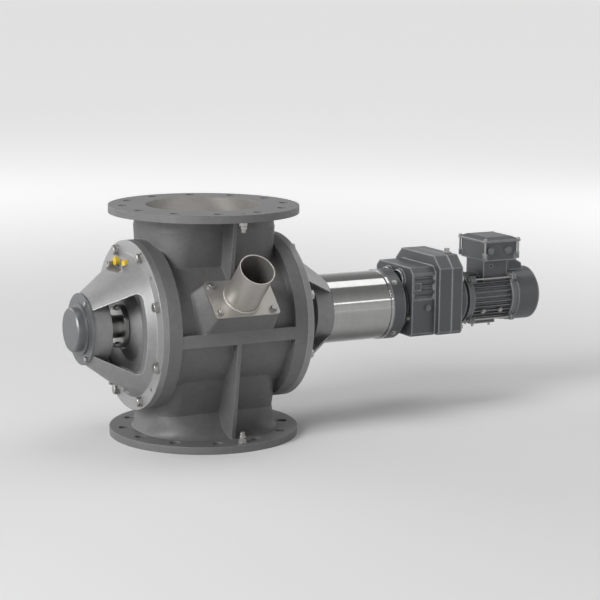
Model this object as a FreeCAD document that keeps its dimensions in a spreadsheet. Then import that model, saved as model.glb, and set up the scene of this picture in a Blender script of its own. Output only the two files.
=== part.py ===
import FreeCAD, Part
import math
import operator
import os

import Sketcher

# A rotary airlock valve: a cast housing between two round flanges, a vaned rotor on outboard
# bearings, a gas vent on the front and a geared motor on the +X end of the shaft.
# Frame: X along the shaft towards the motor, -Y the vent side, Z up, origin at the centre of the
# outlet flange's bottom face. Radii are given as radii.

SIZES = {
    # valve body
    "shaft_height": 250,
    "flange_radius": 205,
    "flange_thick": 16,
    "flange_circle": 175,
    "inlet_hole": 11,
    "outlet_hole": 11.5,
    "throat_radius": 125,
    "ring_inner": 131,
    "ring_outer": 160.5,
    "ring_radius": 181,
    "barrel_radius": 160,
    "chamber_radius": 140,
    "neck_length": 139,
    "neck_depth": 88,
    "neck_wall": 13,
    "rib_low": 24,
    "rib_high": 3,
    "rib_thick": 9,
    "rib_reach": 180,
    "web_foot": 150,
    "web_head": 156,
    "web_waist": 126,
    # vent, measured along and across its own axis, 45 degrees up from the front
    "vent_drop": 79.2,
    "vent_face": 182,
    "vent_gasket": 1.5,
    "vent_plate": 4,
    "vent_half_length": 74,
    "vent_half_height": 46,
    "vent_corner": 7,
    "vent_root": 90,
    "vent_flank": 69,
    "vent_heel": 8,
    "vent_tube": 38,
    "vent_tube_wall": 2.5,
    "vent_tube_length": 97,
    "vent_bolt_x": 61,
    "vent_bolt_y": 33,
    # end covers
    "cover_thick": 14.5,
    "register_depth": 8,
    "bolt_circle": 165.5,
    "cone_root": 153,
    "cone_wall": 15,
    "boss_end": 281,
    "boss_start": 241,
    "boss_radius": 73,
    "boss_radius_drive": 77,
    "window_near": 192,
    "window_near_half": 89,
    "window_far_half": 46,
    "window_corner": 8,
    "recess_half": 34,
    "recess_floor": 120,
    "purge_plug": 9,
    "hub_end": 191,
    "hub_radius": 50,
    "hub_root": 75,
    "web_face": 176,
    # rotor, shaft and its seals
    "rotor_gap": 0.3,
    "vane_thick": 9,
    "rotor_hub": 44,
    "shaft_radius": 25,
    "seat_radius": 22.5,
    "running_gap": 0.3,
    "packing_radius": 34,
    "packing_floor": 162,
    "gland_flange": 46,
    "stud_circle": 40,
    "bearing_start": 250,
    "bearing_width": 19,
    "bearing_radius": 42.5,
    # bearing cap
    "cap_flange": 76,
    "cap_thick": 4,
    "cap_dome": 47,
    "cap_end": 308,
    "cap_screw_circle": 67.4,
    # lantern sleeve and coupling
    "sleeve_start": 281,
    "sleeve_end": 428,
    "sleeve_radius": 77.5,
    "sleeve_wall": 3,
    "sleeve_ring": 80,
    "sleeve_ring_thick": 5.5,
    "sleeve_lip": 48,
    "sleeve_screw_circle": 61,
    "coupling_radius": 46,
    "coupling_start": 296,
    "coupling_hub": 36,
    "coupling_spider": 18,
    "drive_seat": 20,
    # gear unit
    "neck_end": 464,
    "case_front": 480,
    "case_step": 541,
    "case_seam": 575,
    "cover_end": 603,
    "case_wall": 9,
    "front_half": 80,
    "front_top": 90,
    "front_bottom": 67,
    "front_bevel": 13,
    "rear_half": 97,
    "rear_top": 114,
    "rear_bottom": 65,
    "rear_bevel": 27,
    "output_radius": 17.5,
    "layshaft_y": 25,
    "centre_distance": 62,
    "layshaft_radius": 8.5,
    "gear_module": 2,
    "gear_width": 22,
    "pinion_teeth_in": 17,
    "wheel_teeth_in": 45,
    "pinion_teeth_out": 16,
    "wheel_teeth_out": 46,
    "wheel_out_start": 497,
    "wheel_in_start": 552,
    # motor
    "motor_seat": 648,
    "shield_radius": 62,
    "frame_start": 668,
    "frame_end": 768,
    "frame_radius": 48,
    "fin_radius": 56,
    "fin_thick": 1.8,
    "shield_end": 788,
    "cowl_end": 846,
    "motor_shaft": 9,
    "stator_bore": 30.3,
    "box_near": 687,
    "box_far": 787,
    "box_half": 56,
    "box_floor": 88,
    "box_top": 132,
    "lid_thick": 11,
}

COS45 = math.sqrt(0.5)
COS30 = math.cos(math.radians(30))
TAN30 = math.tan(math.radians(30))
FULL_TURN = 360.0
OPERATIONS = {"+": operator.add, "-": operator.sub, "*": operator.mul, "/": operator.truediv}


# Fasteners: shank radius, width across flats and head height.
COVER_SHANK, COVER_FLATS, COVER_HEAD, WASHER = 6, 18, 7.5, 2.5
EARTH_SHANK, EARTH_X, EARTH_Y = 5, 4, 184
# Square seals in the covers' registers.
SEAL_START, SEAL_END, SEAL_FLOOR = 154, 157.4, 136.5
# Purge ports at the top of the covers.
PORT_Y, PORT_Z, PORT_FACE = 24, 135, 188
VENT_SHANK = 4
ROTOR_SEAT = 27
JAW_DEPTH, SPIDER_LEG = 14, 3
# Gear unit and motor: places along the shaft and fixed details.
SEAL_RADIUS, OUTPUT_BEARING, OUTPUT_START = 25, 446, 352
LAY_FRONT, LAY_REAR, BORE_CAP = 482, 577, 20
MOTOR_SEAL, MOTOR_FRONT, MOTOR_REAR, MOTOR_CORE = 591, 652, 771, 11
PLUG_X, PLUG_Z = 520.5, -2.4
BREATHER_X, BREATHER_Y = 588, -50
CASE_SCREWS = [(87, 60), (-87, 60), (87, -50), (-87, -50), (62, 102), (-62, 102)]
BACKLASH = 0.12
EAR, FAN_START = 47, 796
CABLE_PORTS, PORT_RISE = (708, 756), 112


class Size:
    """A length that carries both its value and the expression that gives it."""

    def __init__(self, value, text=None):
        self.value = float(value)
        self.text = repr(self.value) if text is None else text

    def __add__(self, other):
        return combine(self, "+", other)

    def __radd__(self, other):
        return combine(other, "+", self)

    def __sub__(self, other):
        return combine(self, "-", other)

    def __rsub__(self, other):
        return combine(other, "-", self)

    def __mul__(self, other):
        return combine(self, "*", other)

    def __rmul__(self, other):
        return combine(other, "*", self)

    def __truediv__(self, other):
        return combine(self, "/", other)

    def __neg__(self):
        return combine(0, "-", self)


def as_size(value):
    return value if isinstance(value, Size) else Size(value)


def combine(left, sign, right):
    left, right = as_size(left), as_size(right)
    text = "(%s %s %s)" % (left.text, sign, right.text)
    return Size(OPERATIONS[sign](left.value, right.value), text)


class Sheet:
    """The spreadsheet of driving sizes, read as attributes."""

    def __init__(self, document, sizes):
        self.cells = document.addObject("Spreadsheet::Sheet", "Sizes")
        for row, (name, value) in enumerate(sizes.items(), 1):
            self.cells.set("A%d" % row, name)
            self.cells.set("B%d" % row, str(value))
            self.cells.setAlias("B%d" % row, name)
        document.recompute()

    def __getattr__(self, name):
        return Size(self.cells.get(name), "Sizes." + name)


doc = FreeCAD.newDocument("RotaryValve")
s = Sheet(doc, SIZES)
exported = []
layshaft_rise = Size(
    math.sqrt(s.centre_distance.value**2 - s.layshaft_y.value**2),
    "sqrt(Sizes.centre_distance ^ 2 - Sizes.layshaft_y ^ 2)",
)


def bind(target, name, size):
    """Ties one property or constraint to the sheet."""
    size = as_size(size)
    if "Sizes." in size.text:
        target.setExpression(name, size.text)
    elif hasattr(target, name):
        setattr(target, name, size.value)


def bind_point(target, name, point):
    """Ties a placement's base to the sheet; zeros stay as they are."""
    for axis, size in zip("xyz", point):
        if "Sizes." in as_size(size).text:
            target.setExpression("%s.Base.%s" % (name, axis), size.text)


def place(x=0, y=0, z=0, axis=(0, 0, 1), turn=0.0):
    """A placement at a point, turned about an axis."""
    base = FreeCAD.Vector(*[as_size(v).value for v in (x, y, z)])
    return FreeCAD.Placement(base, FreeCAD.Rotation(FreeCAD.Vector(*axis), turn))


class Piece:
    """One body of the valve, drawn on its own origin planes and named for its file."""

    def __init__(self, label, x=0, y=0, z=None, axis=(0, 0, 1), turn=0.0):
        z = s.shaft_height if z is None else z
        self.body = doc.addObject("PartDesign::Body", label)
        self.body.Label = label
        self.body.Placement = place(x, y, z, axis, turn)
        bind_point(self.body, "Placement", (x, y, z))
        self.label = label
        exported.append(self.body)

    def origin(self, role):
        return [item for item in self.body.Origin.OriginFeatures if item.Role == role][0]

    def new(self, kind, name):
        return self.body.newObject(kind, "%s_%s" % (self.label, name))

    def sketch(self, plane, at=0, shift=(0, 0), turn=0.0, axis=(0, 0, 1)):
        """An empty sketch on an origin plane, moved along its normal and in its own plane."""
        sketch = self.new("Sketcher::SketchObject", "sketch")
        sketch.AttachmentSupport = (self.origin(plane + "_Plane"), [""])
        sketch.MapMode = "FlatFace"
        sketch.AttachmentOffset = place(shift[0], shift[1], at, axis, turn)
        bind_point(sketch, "AttachmentOffset", (shift[0], shift[1], at))
        return sketch

    def polygon(self, plane, corners, at=0, shift=(0, 0), turn=0.0):
        """A closed polygon, every corner tied to the sheet."""
        sketch = self.sketch(plane, at, shift, turn)
        add_loop(sketch, corners)
        return sketch

    def circles(self, plane, circles, at=0, shift=(0, 0), turn=0.0):
        """Circles given as (x, y, radius)."""
        sketch = self.sketch(plane, at, shift, turn)
        for x, y, radius in circles:
            add_circle(sketch, as_size(x), as_size(y), as_size(radius))
        return sketch

    def rounded(self, at, half_x, half_y, corner, plane="XY"):
        """A rectangle with rounded corners about the sketch origin."""
        sketch = self.sketch(plane, at)
        add_rounded(sketch, as_size(half_x), as_size(half_y), as_size(corner))
        return sketch

    def pad(self, sketch, length, both=False, back=False):
        pad = self.new("PartDesign::Pad", "pad")
        pad.Profile = sketch
        bind(pad, "Length", length)
        pad.Midplane = both
        pad.Reversed = back
        return self.done(pad)

    def pocket(self, sketch, length, both=False, back=False):
        pocket = self.new("PartDesign::Pocket", "pocket")
        pocket.Profile = sketch
        bind(pocket, "Length", length)
        pocket.Midplane = both
        pocket.Reversed = back
        return self.cuts(pocket)

    def revolve(self, corners, cut=False, plane="XZ", shift=(0, 0), turn=0.0, at=0):
        """Turns a half section about the sketch's first axis."""
        sketch = self.polygon(plane, corners, at, shift, turn)
        feature = self.new("PartDesign::Groove" if cut else "PartDesign::Revolution", "turned")
        feature.Profile = sketch
        feature.ReferenceAxis = (sketch, ["H_Axis"])
        feature.Angle = FULL_TURN
        return self.cuts(feature) if cut else self.done(feature)

    def loft(self, sections, cut=False, ruled=True):
        loft = self.new("PartDesign::SubtractiveLoft" if cut else "PartDesign::AdditiveLoft", "loft")
        loft.Profile = sections[0]
        loft.Sections = sections[1:]
        loft.Ruled = ruled
        return self.cuts(loft) if cut else self.done(loft)

    def repeat(self, features, count, axis="X_Axis"):
        """Repeats features evenly round an axis of the body."""
        pattern = self.new("PartDesign::PolarPattern", "repeat")
        pattern.Originals = features
        pattern.Axis = (self.origin(axis), [""]) if isinstance(axis, str) else axis
        pattern.Angle = FULL_TURN
        pattern.Occurrences = count
        return self.done(pattern)

    def mirror(self, features, plane="YZ_Plane"):
        mirror = self.new("PartDesign::Mirrored", "mirror")
        mirror.Originals = features
        mirror.MirrorPlane = (self.origin(plane), [""])
        return self.done(mirror)

    def soften(self, radius, chosen, kind="Fillet"):
        """Rounds or bevels the edges that the test picks."""
        base = self.body.Tip
        edges = ["Edge%d" % n for n, edge in enumerate(base.Shape.Edges, 1) if chosen(edge)]
        feature = self.new("PartDesign::" + kind, kind.lower())
        feature.Base = (base, edges)
        bind(feature, "Radius" if kind == "Fillet" else "Size", radius)
        return self.done(feature)

    def done(self, feature):
        self.body.Tip = feature
        doc.recompute()
        return feature

    def cuts(self, feature):
        """Finishes a cutting feature and makes sure that it took material away."""
        before = self.body.Shape.Volume
        self.done(feature)
        if self.body.Shape.Volume > before - 1e-3:
            raise RuntimeError(feature.Name + " cuts nothing")
        return feature


def add_loop(sketch, corners):
    """A closed polygon in a sketch, with its corners held from the sketch origin."""
    corners = [(as_size(x), as_size(y)) for x, y in corners]
    first = sketch.GeometryCount
    points = [FreeCAD.Vector(x.value, y.value, 0) for x, y in corners]
    count = len(points)
    for n in range(count):
        sketch.addGeometry(Part.LineSegment(points[n], points[(n + 1) % count]), False)
    for n in range(count):
        sketch.addConstraint(
            Sketcher.Constraint("Coincident", first + n, 2, first + (n + 1) % count, 1)
        )
    for n, (x, y) in enumerate(corners):
        hold(sketch, "DistanceX", first + n, 1, x)
        hold(sketch, "DistanceY", first + n, 1, y)


def add_circle(sketch, x, y, radius):
    item = sketch.addGeometry(
        Part.Circle(FreeCAD.Vector(x.value, y.value, 0), FreeCAD.Vector(0, 0, 1), radius.value), False
    )
    hold(sketch, "DistanceX", item, 3, x)
    hold(sketch, "DistanceY", item, 3, y)
    index = sketch.addConstraint(Sketcher.Constraint("Radius", item, radius.value))
    bind(sketch, "Constraints[%d]" % index, radius)


def hold(sketch, kind, item, end, size):
    """Holds one end of an item at a distance from the sketch origin."""
    index = sketch.addConstraint(Sketcher.Constraint(kind, -1, 1, item, end, size.value))
    bind(sketch, "Constraints[%d]" % index, size)


def add_rounded(sketch, half_x, half_y, corner):
    """Four sides and four corner arcs, tangent all round."""
    a, b, r = half_x.value, half_y.value, corner.value
    sides = [
        ((a, r - b), (a, b - r)),
        ((a - r, b), (r - a, b)),
        ((-a, b - r), (-a, r - b)),
        ((r - a, -b), (a - r, -b)),
    ]
    centres = [(a - r, b - r), (r - a, b - r), (r - a, r - b), (a - r, r - b)]
    normal = FreeCAD.Vector(0, 0, 1)
    for n, ((start, end), centre) in enumerate(zip(sides, centres)):
        sketch.addGeometry(Part.LineSegment(FreeCAD.Vector(*start), FreeCAD.Vector(*end)), False)
        circle = Part.Circle(FreeCAD.Vector(*centre), normal, r)
        arc = Part.ArcOfCircle(circle, n * math.pi / 2, (n + 1) * math.pi / 2)
        sketch.addGeometry(arc, False)
    for n in range(4):
        sketch.addConstraint(Sketcher.Constraint("Tangent", 2 * n, 2, 2 * n + 1, 1))
        sketch.addConstraint(Sketcher.Constraint("Tangent", 2 * n + 1, 2, (2 * n + 2) % 8, 1))
        sketch.addConstraint(Sketcher.Constraint("Horizontal" if n % 2 else "Vertical", 2 * n))
    for item in (3, 5, 7):
        sketch.addConstraint(Sketcher.Constraint("Equal", 1, item))
    index = sketch.addConstraint(Sketcher.Constraint("Radius", 1, r))
    bind(sketch, "Constraints[%d]" % index, corner)
    hold(sketch, "DistanceX", 0, 1, half_x)
    hold(sketch, "DistanceX", 4, 1, -half_x)
    hold(sketch, "DistanceY", 2, 1, half_y)
    hold(sketch, "DistanceY", 6, 1, -half_y)


def box_corners(x0, x1, y0, y1):
    return [(x0, y0), (x1, y0), (x1, y1), (x0, y1)]


def hexagon(x, y, across, turn=0.0):
    """The corners of a hexagon, given across its flats."""
    radius = across / math.sqrt(3)
    angles = [math.radians(turn + 60 * n) for n in range(6)]
    return [(x + radius * math.cos(a), y + radius * math.sin(a)) for a in angles]


def housing():
    """The casting: side rings, barrel, necks, flanges, ribs and the vent's inclined boss."""
    piece = Piece("housing")
    top = s.shaft_height - s.flange_thick
    piece.revolve(
        [
            (-s.ring_outer, 0),
            (-s.ring_outer, s.ring_radius),
            (-s.ring_inner, s.ring_radius),
            (-s.ring_inner, s.barrel_radius),
            (s.ring_inner, s.barrel_radius),
            (s.ring_inner, s.ring_radius),
            (s.ring_outer, s.ring_radius),
            (s.ring_outer, 0),
        ]
    )
    for way in (1, -1):
        neck(piece, way, top)
    rib = piece.polygon("XZ", box_corners(-s.ring_inner, s.ring_inner, -s.rib_low, s.rib_high))
    piece.pad(rib, s.rib_reach * 2, both=True)
    webs = ((s.web_foot, -top, s.rib_reach, -s.rib_low), (s.web_waist, s.rib_high, s.web_head, top))
    for below, low, above, high in webs:
        web = piece.polygon("YZ", [(-below, low), (below, low), (above, high), (-above, high)])
        piece.pad(web, s.rib_thick, both=True)
    vent_boss(piece)
    chamber = piece.circles("YZ", [(0, 0, s.chamber_radius)])
    piece.pocket(chamber, s.ring_outer * 2 + 1, both=True)
    for way in (1, -1):
        throat(piece, way, top)
    piece.revolve(
        box_corners(s.vent_face - 100, s.vent_face + 1, 0, s.vent_tube - s.vent_tube_wall),
        cut=True,
        plane="YZ",
        shift=(-s.vent_drop * COS45, -s.vent_drop * COS45),
        turn=135.0,
    )
    housing_holes(piece, top)
    return piece


def neck(piece, way, top):
    """The neck between the barrel and one flange, and the flange itself."""
    if way > 0:
        levels = [(top, 147, 139, 120), (top - 12, 143, 122, 95), (top - 29, 140, 110, 65)]
        wall = [(top - 29, 140, 110, 65), (119, 136, 94, 50), (60, 132, 80, 35)]
    else:
        levels = [
            (top, 153, 138, 120),
            (top - 12, 148, 112, 90),
            (top - 26, 143, 98, 62),
            (top - 45, 139, 88, 45),
        ]
        wall = [(top - 45, 139, 88, 45), (110, 136, 116, 45), (60, 132, 116, 45)]
    length, depth = s.neck_length / 139, s.neck_depth / 88
    for group, ruled in ((levels, False), (wall, True)):
        sections = [piece.rounded(way * level, a * length, b * depth, r) for level, a, b, r in group]
        piece.loft(sections, ruled=ruled)
    disc = piece.circles("XY", [(0, 0, s.flange_radius)], way * s.shaft_height)
    piece.pad(disc, s.flange_thick, back=way > 0)


def vent_boss(piece):
    """The inclined block under the vent; its flanks spread where they run into the neck."""
    sections = []
    rise, fall = s.vent_half_height - s.vent_drop, -s.vent_half_height - s.vent_drop
    for depth, flank, heel in ((0, 0, 0), (s.vent_root, s.vent_flank, s.vent_heel)):
        lift = (s.vent_face - depth) * COS45
        section = piece.sketch("XY", lift, (0, -lift), 45.0, (1, 0, 0))
        upper, lower = s.vent_half_length + flank, s.vent_half_length + heel
        add_loop(section, [(-lower, fall), (lower, fall), (upper, rise), (-upper, rise)])
        sections.append(section)
    piece.loft(sections)
    piece.soften(s.vent_corner, is_vent_corner)


def is_vent_corner(edge):
    """True for the four edges that run into the casting from the corners of the vent's face."""
    level, along = s.vent_face.value / COS45, s.vent_half_length.value
    ends = [(abs(v.Z - v.Y - level) < 0.01 and abs(abs(v.X) - along) < 0.01) for v in edge.Vertexes]
    return len(ends) == 2 and ends[0] != ends[1]


def throat(piece, way, top):
    """The passage from a flange into the chamber, round at the flange and oblong at the rotor."""
    round_corner = s.throat_radius - 0.5
    inner_x, inner_y = s.neck_length - s.neck_wall, s.neck_depth - s.neck_wall
    sections = [
        piece.rounded(way * s.shaft_height, s.throat_radius, s.throat_radius, round_corner),
        piece.rounded(way * (top - 29), inner_x, inner_y + 3, 60),
        piece.rounded(way * 115, inner_x, inner_y, 40),
        piece.rounded(way * 60, inner_x, inner_y, 40),
    ]
    piece.loft(sections, cut=True)


def housing_holes(piece, top):
    """Flange bolt holes, tapped holes for the covers and the vent, earthing holes."""
    angle = math.radians(15)
    place_x, place_y = s.flange_circle * math.cos(angle), s.flange_circle * math.sin(angle)
    for way, radius in ((1, s.inlet_hole), (-1, s.outlet_hole)):
        hole = piece.circles("XY", [(place_x, place_y, radius)], way * s.shaft_height)
        first = piece.pocket(hole, s.flange_thick, back=way < 0)
        piece.repeat([first], 12, "Z_Axis")
        hole = piece.circles("XY", [(EARTH_X, -EARTH_Y, EARTH_SHANK)], way * s.shaft_height)
        piece.pocket(hole, s.flange_thick, back=way < 0)
    angle = math.radians(22.5)
    place_y, place_z = s.bolt_circle * math.cos(angle), s.bolt_circle * math.sin(angle)
    for way in (1, -1):
        hole = piece.circles("YZ", [(place_y, place_z, COVER_SHANK)], way * s.ring_outer)
        first = piece.pocket(hole, 22, back=way < 0)
        piece.repeat([first], 8)
    lift = s.vent_face * COS45
    holes = piece.sketch("XY", lift, (0, -lift), 45.0, (1, 0, 0))
    for x, y in vent_bolt_places():
        add_circle(holes, as_size(x), as_size(y), as_size(VENT_SHANK))
    piece.pocket(holes, 18)


def end_cover(label, turn, boss):
    """One end cover: flange, windowed cone, stuffing-box hub and bearing boss."""
    piece = Piece(label, turn=turn)
    face = s.ring_outer + s.cover_thick
    slope = (s.cone_root - boss) / (s.boss_end - face)
    inner = s.cone_root - s.cone_wall
    piece.revolve(
        [
            (s.ring_outer, inner - 6),
            (s.ring_outer, s.ring_radius),
            (face, s.ring_radius),
            (face, s.cone_root),
            (s.boss_end, boss),
            (s.boss_end, boss - 9),
            (s.boss_start, boss - 9),
            (s.boss_start, inner - slope * (s.boss_start - face)),
            (face, inner),
            (face - 3, inner - 6),
        ]
    )
    pad_half = s.recess_half + 5
    for low, high in ((98, 134), (-134, -98)):
        port_pad = piece.polygon("YZ", box_corners(-pad_half, pad_half, low, high), face - 2)
        piece.pad(port_pad, 33)
    near, far = s.window_near_half, s.window_far_half
    window = piece.polygon(
        "XZ", [(s.window_near, -near), (s.boss_end + 2, -far), (s.boss_end + 2, far), (s.window_near, near)]
    )
    piece.pocket(window, s.ring_radius * 2, both=True)
    piece.soften(s.window_corner, is_window_corner)
    piece.revolve(
        [
            (s.boss_start, s.shaft_radius + 3),
            (s.boss_start, boss),
            (s.boss_end, boss),
            (s.boss_end, s.bearing_radius),
            (s.bearing_start, s.bearing_radius),
            (s.bearing_start, s.shaft_radius + 3),
        ]
    )
    register = s.ring_outer - s.register_depth
    piece.revolve(
        [
            (register, s.shaft_radius + s.running_gap),
            (register, s.chamber_radius - 0.05),
            (s.ring_outer, s.chamber_radius - 0.05),
            (s.web_face, inner - 2),
            (s.web_face, s.hub_root),
            (s.hub_end, s.hub_radius),
            (s.hub_end, s.packing_radius),
            (s.packing_floor, s.packing_radius),
            (s.packing_floor, s.shaft_radius + s.running_gap),
        ]
    )
    edge = s.ring_radius + 1
    for low, high in ((s.recess_floor, edge), (-edge, -s.recess_floor)):
        recess = box_corners(-s.recess_half, s.recess_half, low, high)
        piece.pocket(piece.polygon("YZ", recess, s.boss_end), s.boss_end - PORT_FACE)
    cover_holes(piece, face)
    return piece


def is_window_corner(edge):
    """True for the edges at the wide end of a cover's window."""
    near, half = s.window_near.value, s.window_near_half.value
    first, last = edge.Vertexes[0], edge.Vertexes[-1]
    at_corner = abs(first.X - near) < 0.01 and abs(abs(first.Z) - half) < 0.01
    return at_corner and abs(last.X - first.X) < 0.01 and abs(last.Z - first.Z) < 0.01


def cover_holes(piece, face):
    """Bolt and jacking holes, the seal's groove, gland studs and purge ports."""
    y, z = on_circle(s.bolt_circle, 22.5)
    hole = piece.circles("YZ", [(y, z, COVER_SHANK + 0.4)], face)
    piece.repeat([piece.pocket(hole, s.cover_thick)], 8)
    y, z = on_circle(s.bolt_circle, 45)
    piece.pocket(piece.circles("YZ", [(y, z, 4.2), (-y, z, 4.2), (y, -z, 4.2), (-y, -z, 4.2)], face), 12)
    piece.revolve(ring_corners(SEAL_START, SEAL_END, SEAL_FLOOR, s.chamber_radius + 1), cut=True)
    piece.pocket(piece.circles("YZ", [(0, s.stud_circle, 4), (0, -s.stud_circle, 4)], s.hub_end), 9)
    piece.pocket(piece.circles("YZ", [(PORT_Y, PORT_Z, 4.5), (-PORT_Y, PORT_Z, 4.5)], PORT_FACE), 8)


def turned(label, corners, turn=0.0, twin=False, **where):
    """A turned piece, or a pair of them mirrored about the valve's middle."""
    piece = Piece(label, turn=turn, **where)
    feature = piece.revolve(corners)
    if twin:
        piece.mirror([feature])
    return piece


def ring_corners(start, end, inner, outer):
    return [(start, inner), (start, outer), (end, outer), (end, inner)]


def bolt(piece, x, y, z, shank, flats, head, length, way=1, plane="YZ"):
    """A hexagon-headed bolt whose head rises from a face and whose shank goes into it."""
    top = piece.pad(piece.polygon(plane, hexagon(y, z, flats, 30), x), head, back=way < 0)
    stem = piece.pad(piece.circles(plane, [(y, z, shank)], x), length, back=way > 0)
    return [top, stem]


def pin(piece, x, y, z, radius, length, way=1, plane="YZ"):
    """A round pin that rises from a face."""
    return [piece.pad(piece.circles(plane, [(y, z, radius)], x), length, back=way < 0)]


def on_circle(radius, degrees):
    angle = math.radians(degrees)
    return radius * math.cos(angle), radius * math.sin(angle)


def cover_fasteners():
    """Eight bolts and washers round each end cover, and the covers' square seals."""
    face = s.ring_outer + s.cover_thick
    y, z = on_circle(s.bolt_circle, 22.5)
    bolts = Piece("cover_bolts")
    features = []
    for way in (1, -1):
        features += bolt(
            bolts, way * (face + WASHER), y, z, COVER_SHANK, COVER_FLATS, COVER_HEAD, s.cover_thick + 20, way
        )
    bolts.repeat(features, 8)
    washers = Piece("cover_washers")
    features = []
    for way in (1, -1):
        disc = washers.sketch("YZ", way * face)
        for radius in (COVER_SHANK + 6, COVER_SHANK + 0.4):
            add_circle(disc, y, z, as_size(radius))
        features.append(washers.pad(disc, WASHER, back=way < 0))
    washers.repeat(features, 8)
    turned("cover_seals", ring_corners(SEAL_START, SEAL_END, SEAL_FLOOR, s.chamber_radius), twin=True)


def rotor():
    """Eight full-depth vanes on a hub, and the stepped shaft through them."""
    piece = Piece("rotor")
    half = s.ring_outer - s.register_depth - s.rotor_gap
    tip = s.chamber_radius - s.rotor_gap
    piece.revolve(ring_corners(-half, half, ROTOR_SEAT, s.rotor_hub))
    vane = piece.polygon("XZ", box_corners(-half, half, s.rotor_hub - 4, tip))
    piece.repeat([piece.pad(vane, s.vane_thick, both=True)], 8)
    shaft = Piece("rotor_shaft")
    profile = [
        (-s.bearing_start - 40, 0),
        (-s.bearing_start - 40, s.seat_radius - 1),
        (-s.bearing_start - 39, s.seat_radius),
        (-s.bearing_start, s.seat_radius),
        (-s.bearing_start, s.shaft_radius),
        (-half, s.shaft_radius),
        (-half, ROTOR_SEAT),
        (half, ROTOR_SEAT),
        (half, s.shaft_radius),
        (s.bearing_start, s.shaft_radius),
        (s.bearing_start, s.seat_radius),
        (s.coupling_start - 4, s.seat_radius),
        (s.coupling_start - 4, s.drive_seat),
        (s.coupling_start + s.coupling_hub - 2, s.drive_seat),
        (s.coupling_start + s.coupling_hub - 2, 0),
    ]
    shaft.revolve(profile)


def roller_bearing(x, width, bore, outer):
    """Sections of the two rings of a roller bearing, and its rollers' circle and radius."""
    wall = (outer - bore) * 0.29
    inner = ring_corners(x, x + width, bore, bore + wall)
    lip = outer - wall - (outer - bore) * 0.13
    rail = width * 0.12
    outside = [
        (x, lip),
        (x, outer),
        (x + width, outer),
        (x + width, lip),
        (x + width - rail, lip),
        (x + width - rail, outer - wall),
        (x + rail, outer - wall),
        (x + rail, lip),
    ]
    radius = (outer - bore - wall * 2) / 2 - 0.06
    return inner, outside, (outer + bore) / 2, radius, x + rail + 0.3, width - rail * 2 - 0.6


def main_bearings():
    """The two outboard roller bearings and the nuts that hold them on the shaft."""
    inner, outside, circle, radius, start, length = roller_bearing(
        s.bearing_start, s.bearing_width, s.seat_radius, s.bearing_radius
    )
    turned("bearing_inners", inner, twin=True)
    turned("bearing_outers", outside, twin=True)
    rollers = Piece("bearing_rollers")
    features = []
    for way in (1, -1):
        features += pin(rollers, way * start, circle, 0, radius, length, way)
    rollers.repeat(features, 12)
    end = s.bearing_start + s.bearing_width
    nuts = Piece("shaft_nuts")
    ring = nuts.revolve(ring_corners(end, end + 9, s.seat_radius, s.seat_radius + 9))
    nuts.mirror([ring])


def shaft_seals():
    """Packing, its purge ring and the gland that presses it, at both covers."""
    step = 6
    packing = Piece("packing_rings")
    features = []
    for start in (0, step, 3 * step):
        at = s.packing_floor + start
        corners = ring_corners(at, at + step, s.shaft_radius + 0.06, s.packing_radius)
        features.append(packing.revolve(corners))
    packing.mirror(features)
    at = s.packing_floor + 2 * step
    waist = s.packing_radius - 3
    turned(
        "purge_rings",
        [
            (at, s.shaft_radius + s.running_gap),
            (at, s.packing_radius),
            (at + 1.5, s.packing_radius),
            (at + 1.5, waist),
            (at + step - 1.5, waist),
            (at + step - 1.5, s.packing_radius),
            (at + step, s.packing_radius),
            (at + step, s.shaft_radius + s.running_gap),
        ],
        twin=True,
    )
    at = s.packing_floor + 4 * step
    bore = s.shaft_radius + s.running_gap
    glands = Piece("packing_glands")
    body = glands.revolve(
        [
            (at, bore),
            (at, s.packing_radius),
            (s.hub_end + 2, s.packing_radius),
            (s.hub_end + 2, s.gland_flange),
            (s.hub_end + 10, s.gland_flange),
            (s.hub_end + 11, s.gland_flange - 1),
            (s.hub_end + 11, bore),
        ]
    )
    glands.mirror([body])
    for way in (1, -1):
        holes = glands.circles("YZ", [(0, s.stud_circle, 4), (0, -s.stud_circle, 4)], way * (s.hub_end + 1))
        glands.pocket(holes, 11, back=way > 0)
    studs = Piece("gland_studs")
    for way in (1, -1):
        for side in (1, -1):
            bolt(studs, way * (s.hub_end + 11), 0, side * s.stud_circle, 4, 11, 5, 20, way)
            pin(studs, way * (s.hub_end + 16), 0, side * s.stud_circle, 4, 5, way)


def bearing_cap():
    """The pressed cap over the blind-side bearing, with its three screws."""
    end = s.bearing_start + s.bearing_width
    flange = s.boss_end + s.cap_thick
    inner = s.bearing_radius - 4.5
    cap = turned(
        "bearing_cap",
        [
            (end, inner),
            (end, s.bearing_radius),
            (s.boss_end, s.bearing_radius),
            (s.boss_end, s.cap_flange),
            (flange, s.cap_flange),
            (flange, s.cap_dome + 7),
            (flange + 4, s.cap_dome + 7),
            (flange + 5, s.cap_dome),
            (s.cap_end - 3, s.cap_dome),
            (s.cap_end, s.cap_dome - 3),
            (s.cap_end, 0),
            (s.cap_end - 4, 0),
            (s.cap_end - 4, inner),
        ],
        turn=180.0,
    )
    cap.pocket(cap.circles("YZ", cap_screw_places(), flange), s.cap_thick)
    screws = Piece("cap_screws", turn=180.0)
    for y, z, radius in cap_screw_places():
        bolt(screws, flange, y, z, radius, 10, 4, 20)


def cap_screw_places():
    return [on_circle(s.cap_screw_circle, degrees) + (3,) for degrees in (60, 180, 300)]


def purge_plugs():
    """Plastic plugs in the purge ports at the top of each cover."""
    piece = Piece("purge_plugs")
    for way in (1, -1):
        for y in (PORT_Y, -PORT_Y):
            pin(piece, way * PORT_FACE, y, PORT_Z, s.purge_plug, 9, way)
            pin(piece, way * PORT_FACE, y, PORT_Z, 4.5, 8, -way)


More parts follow.
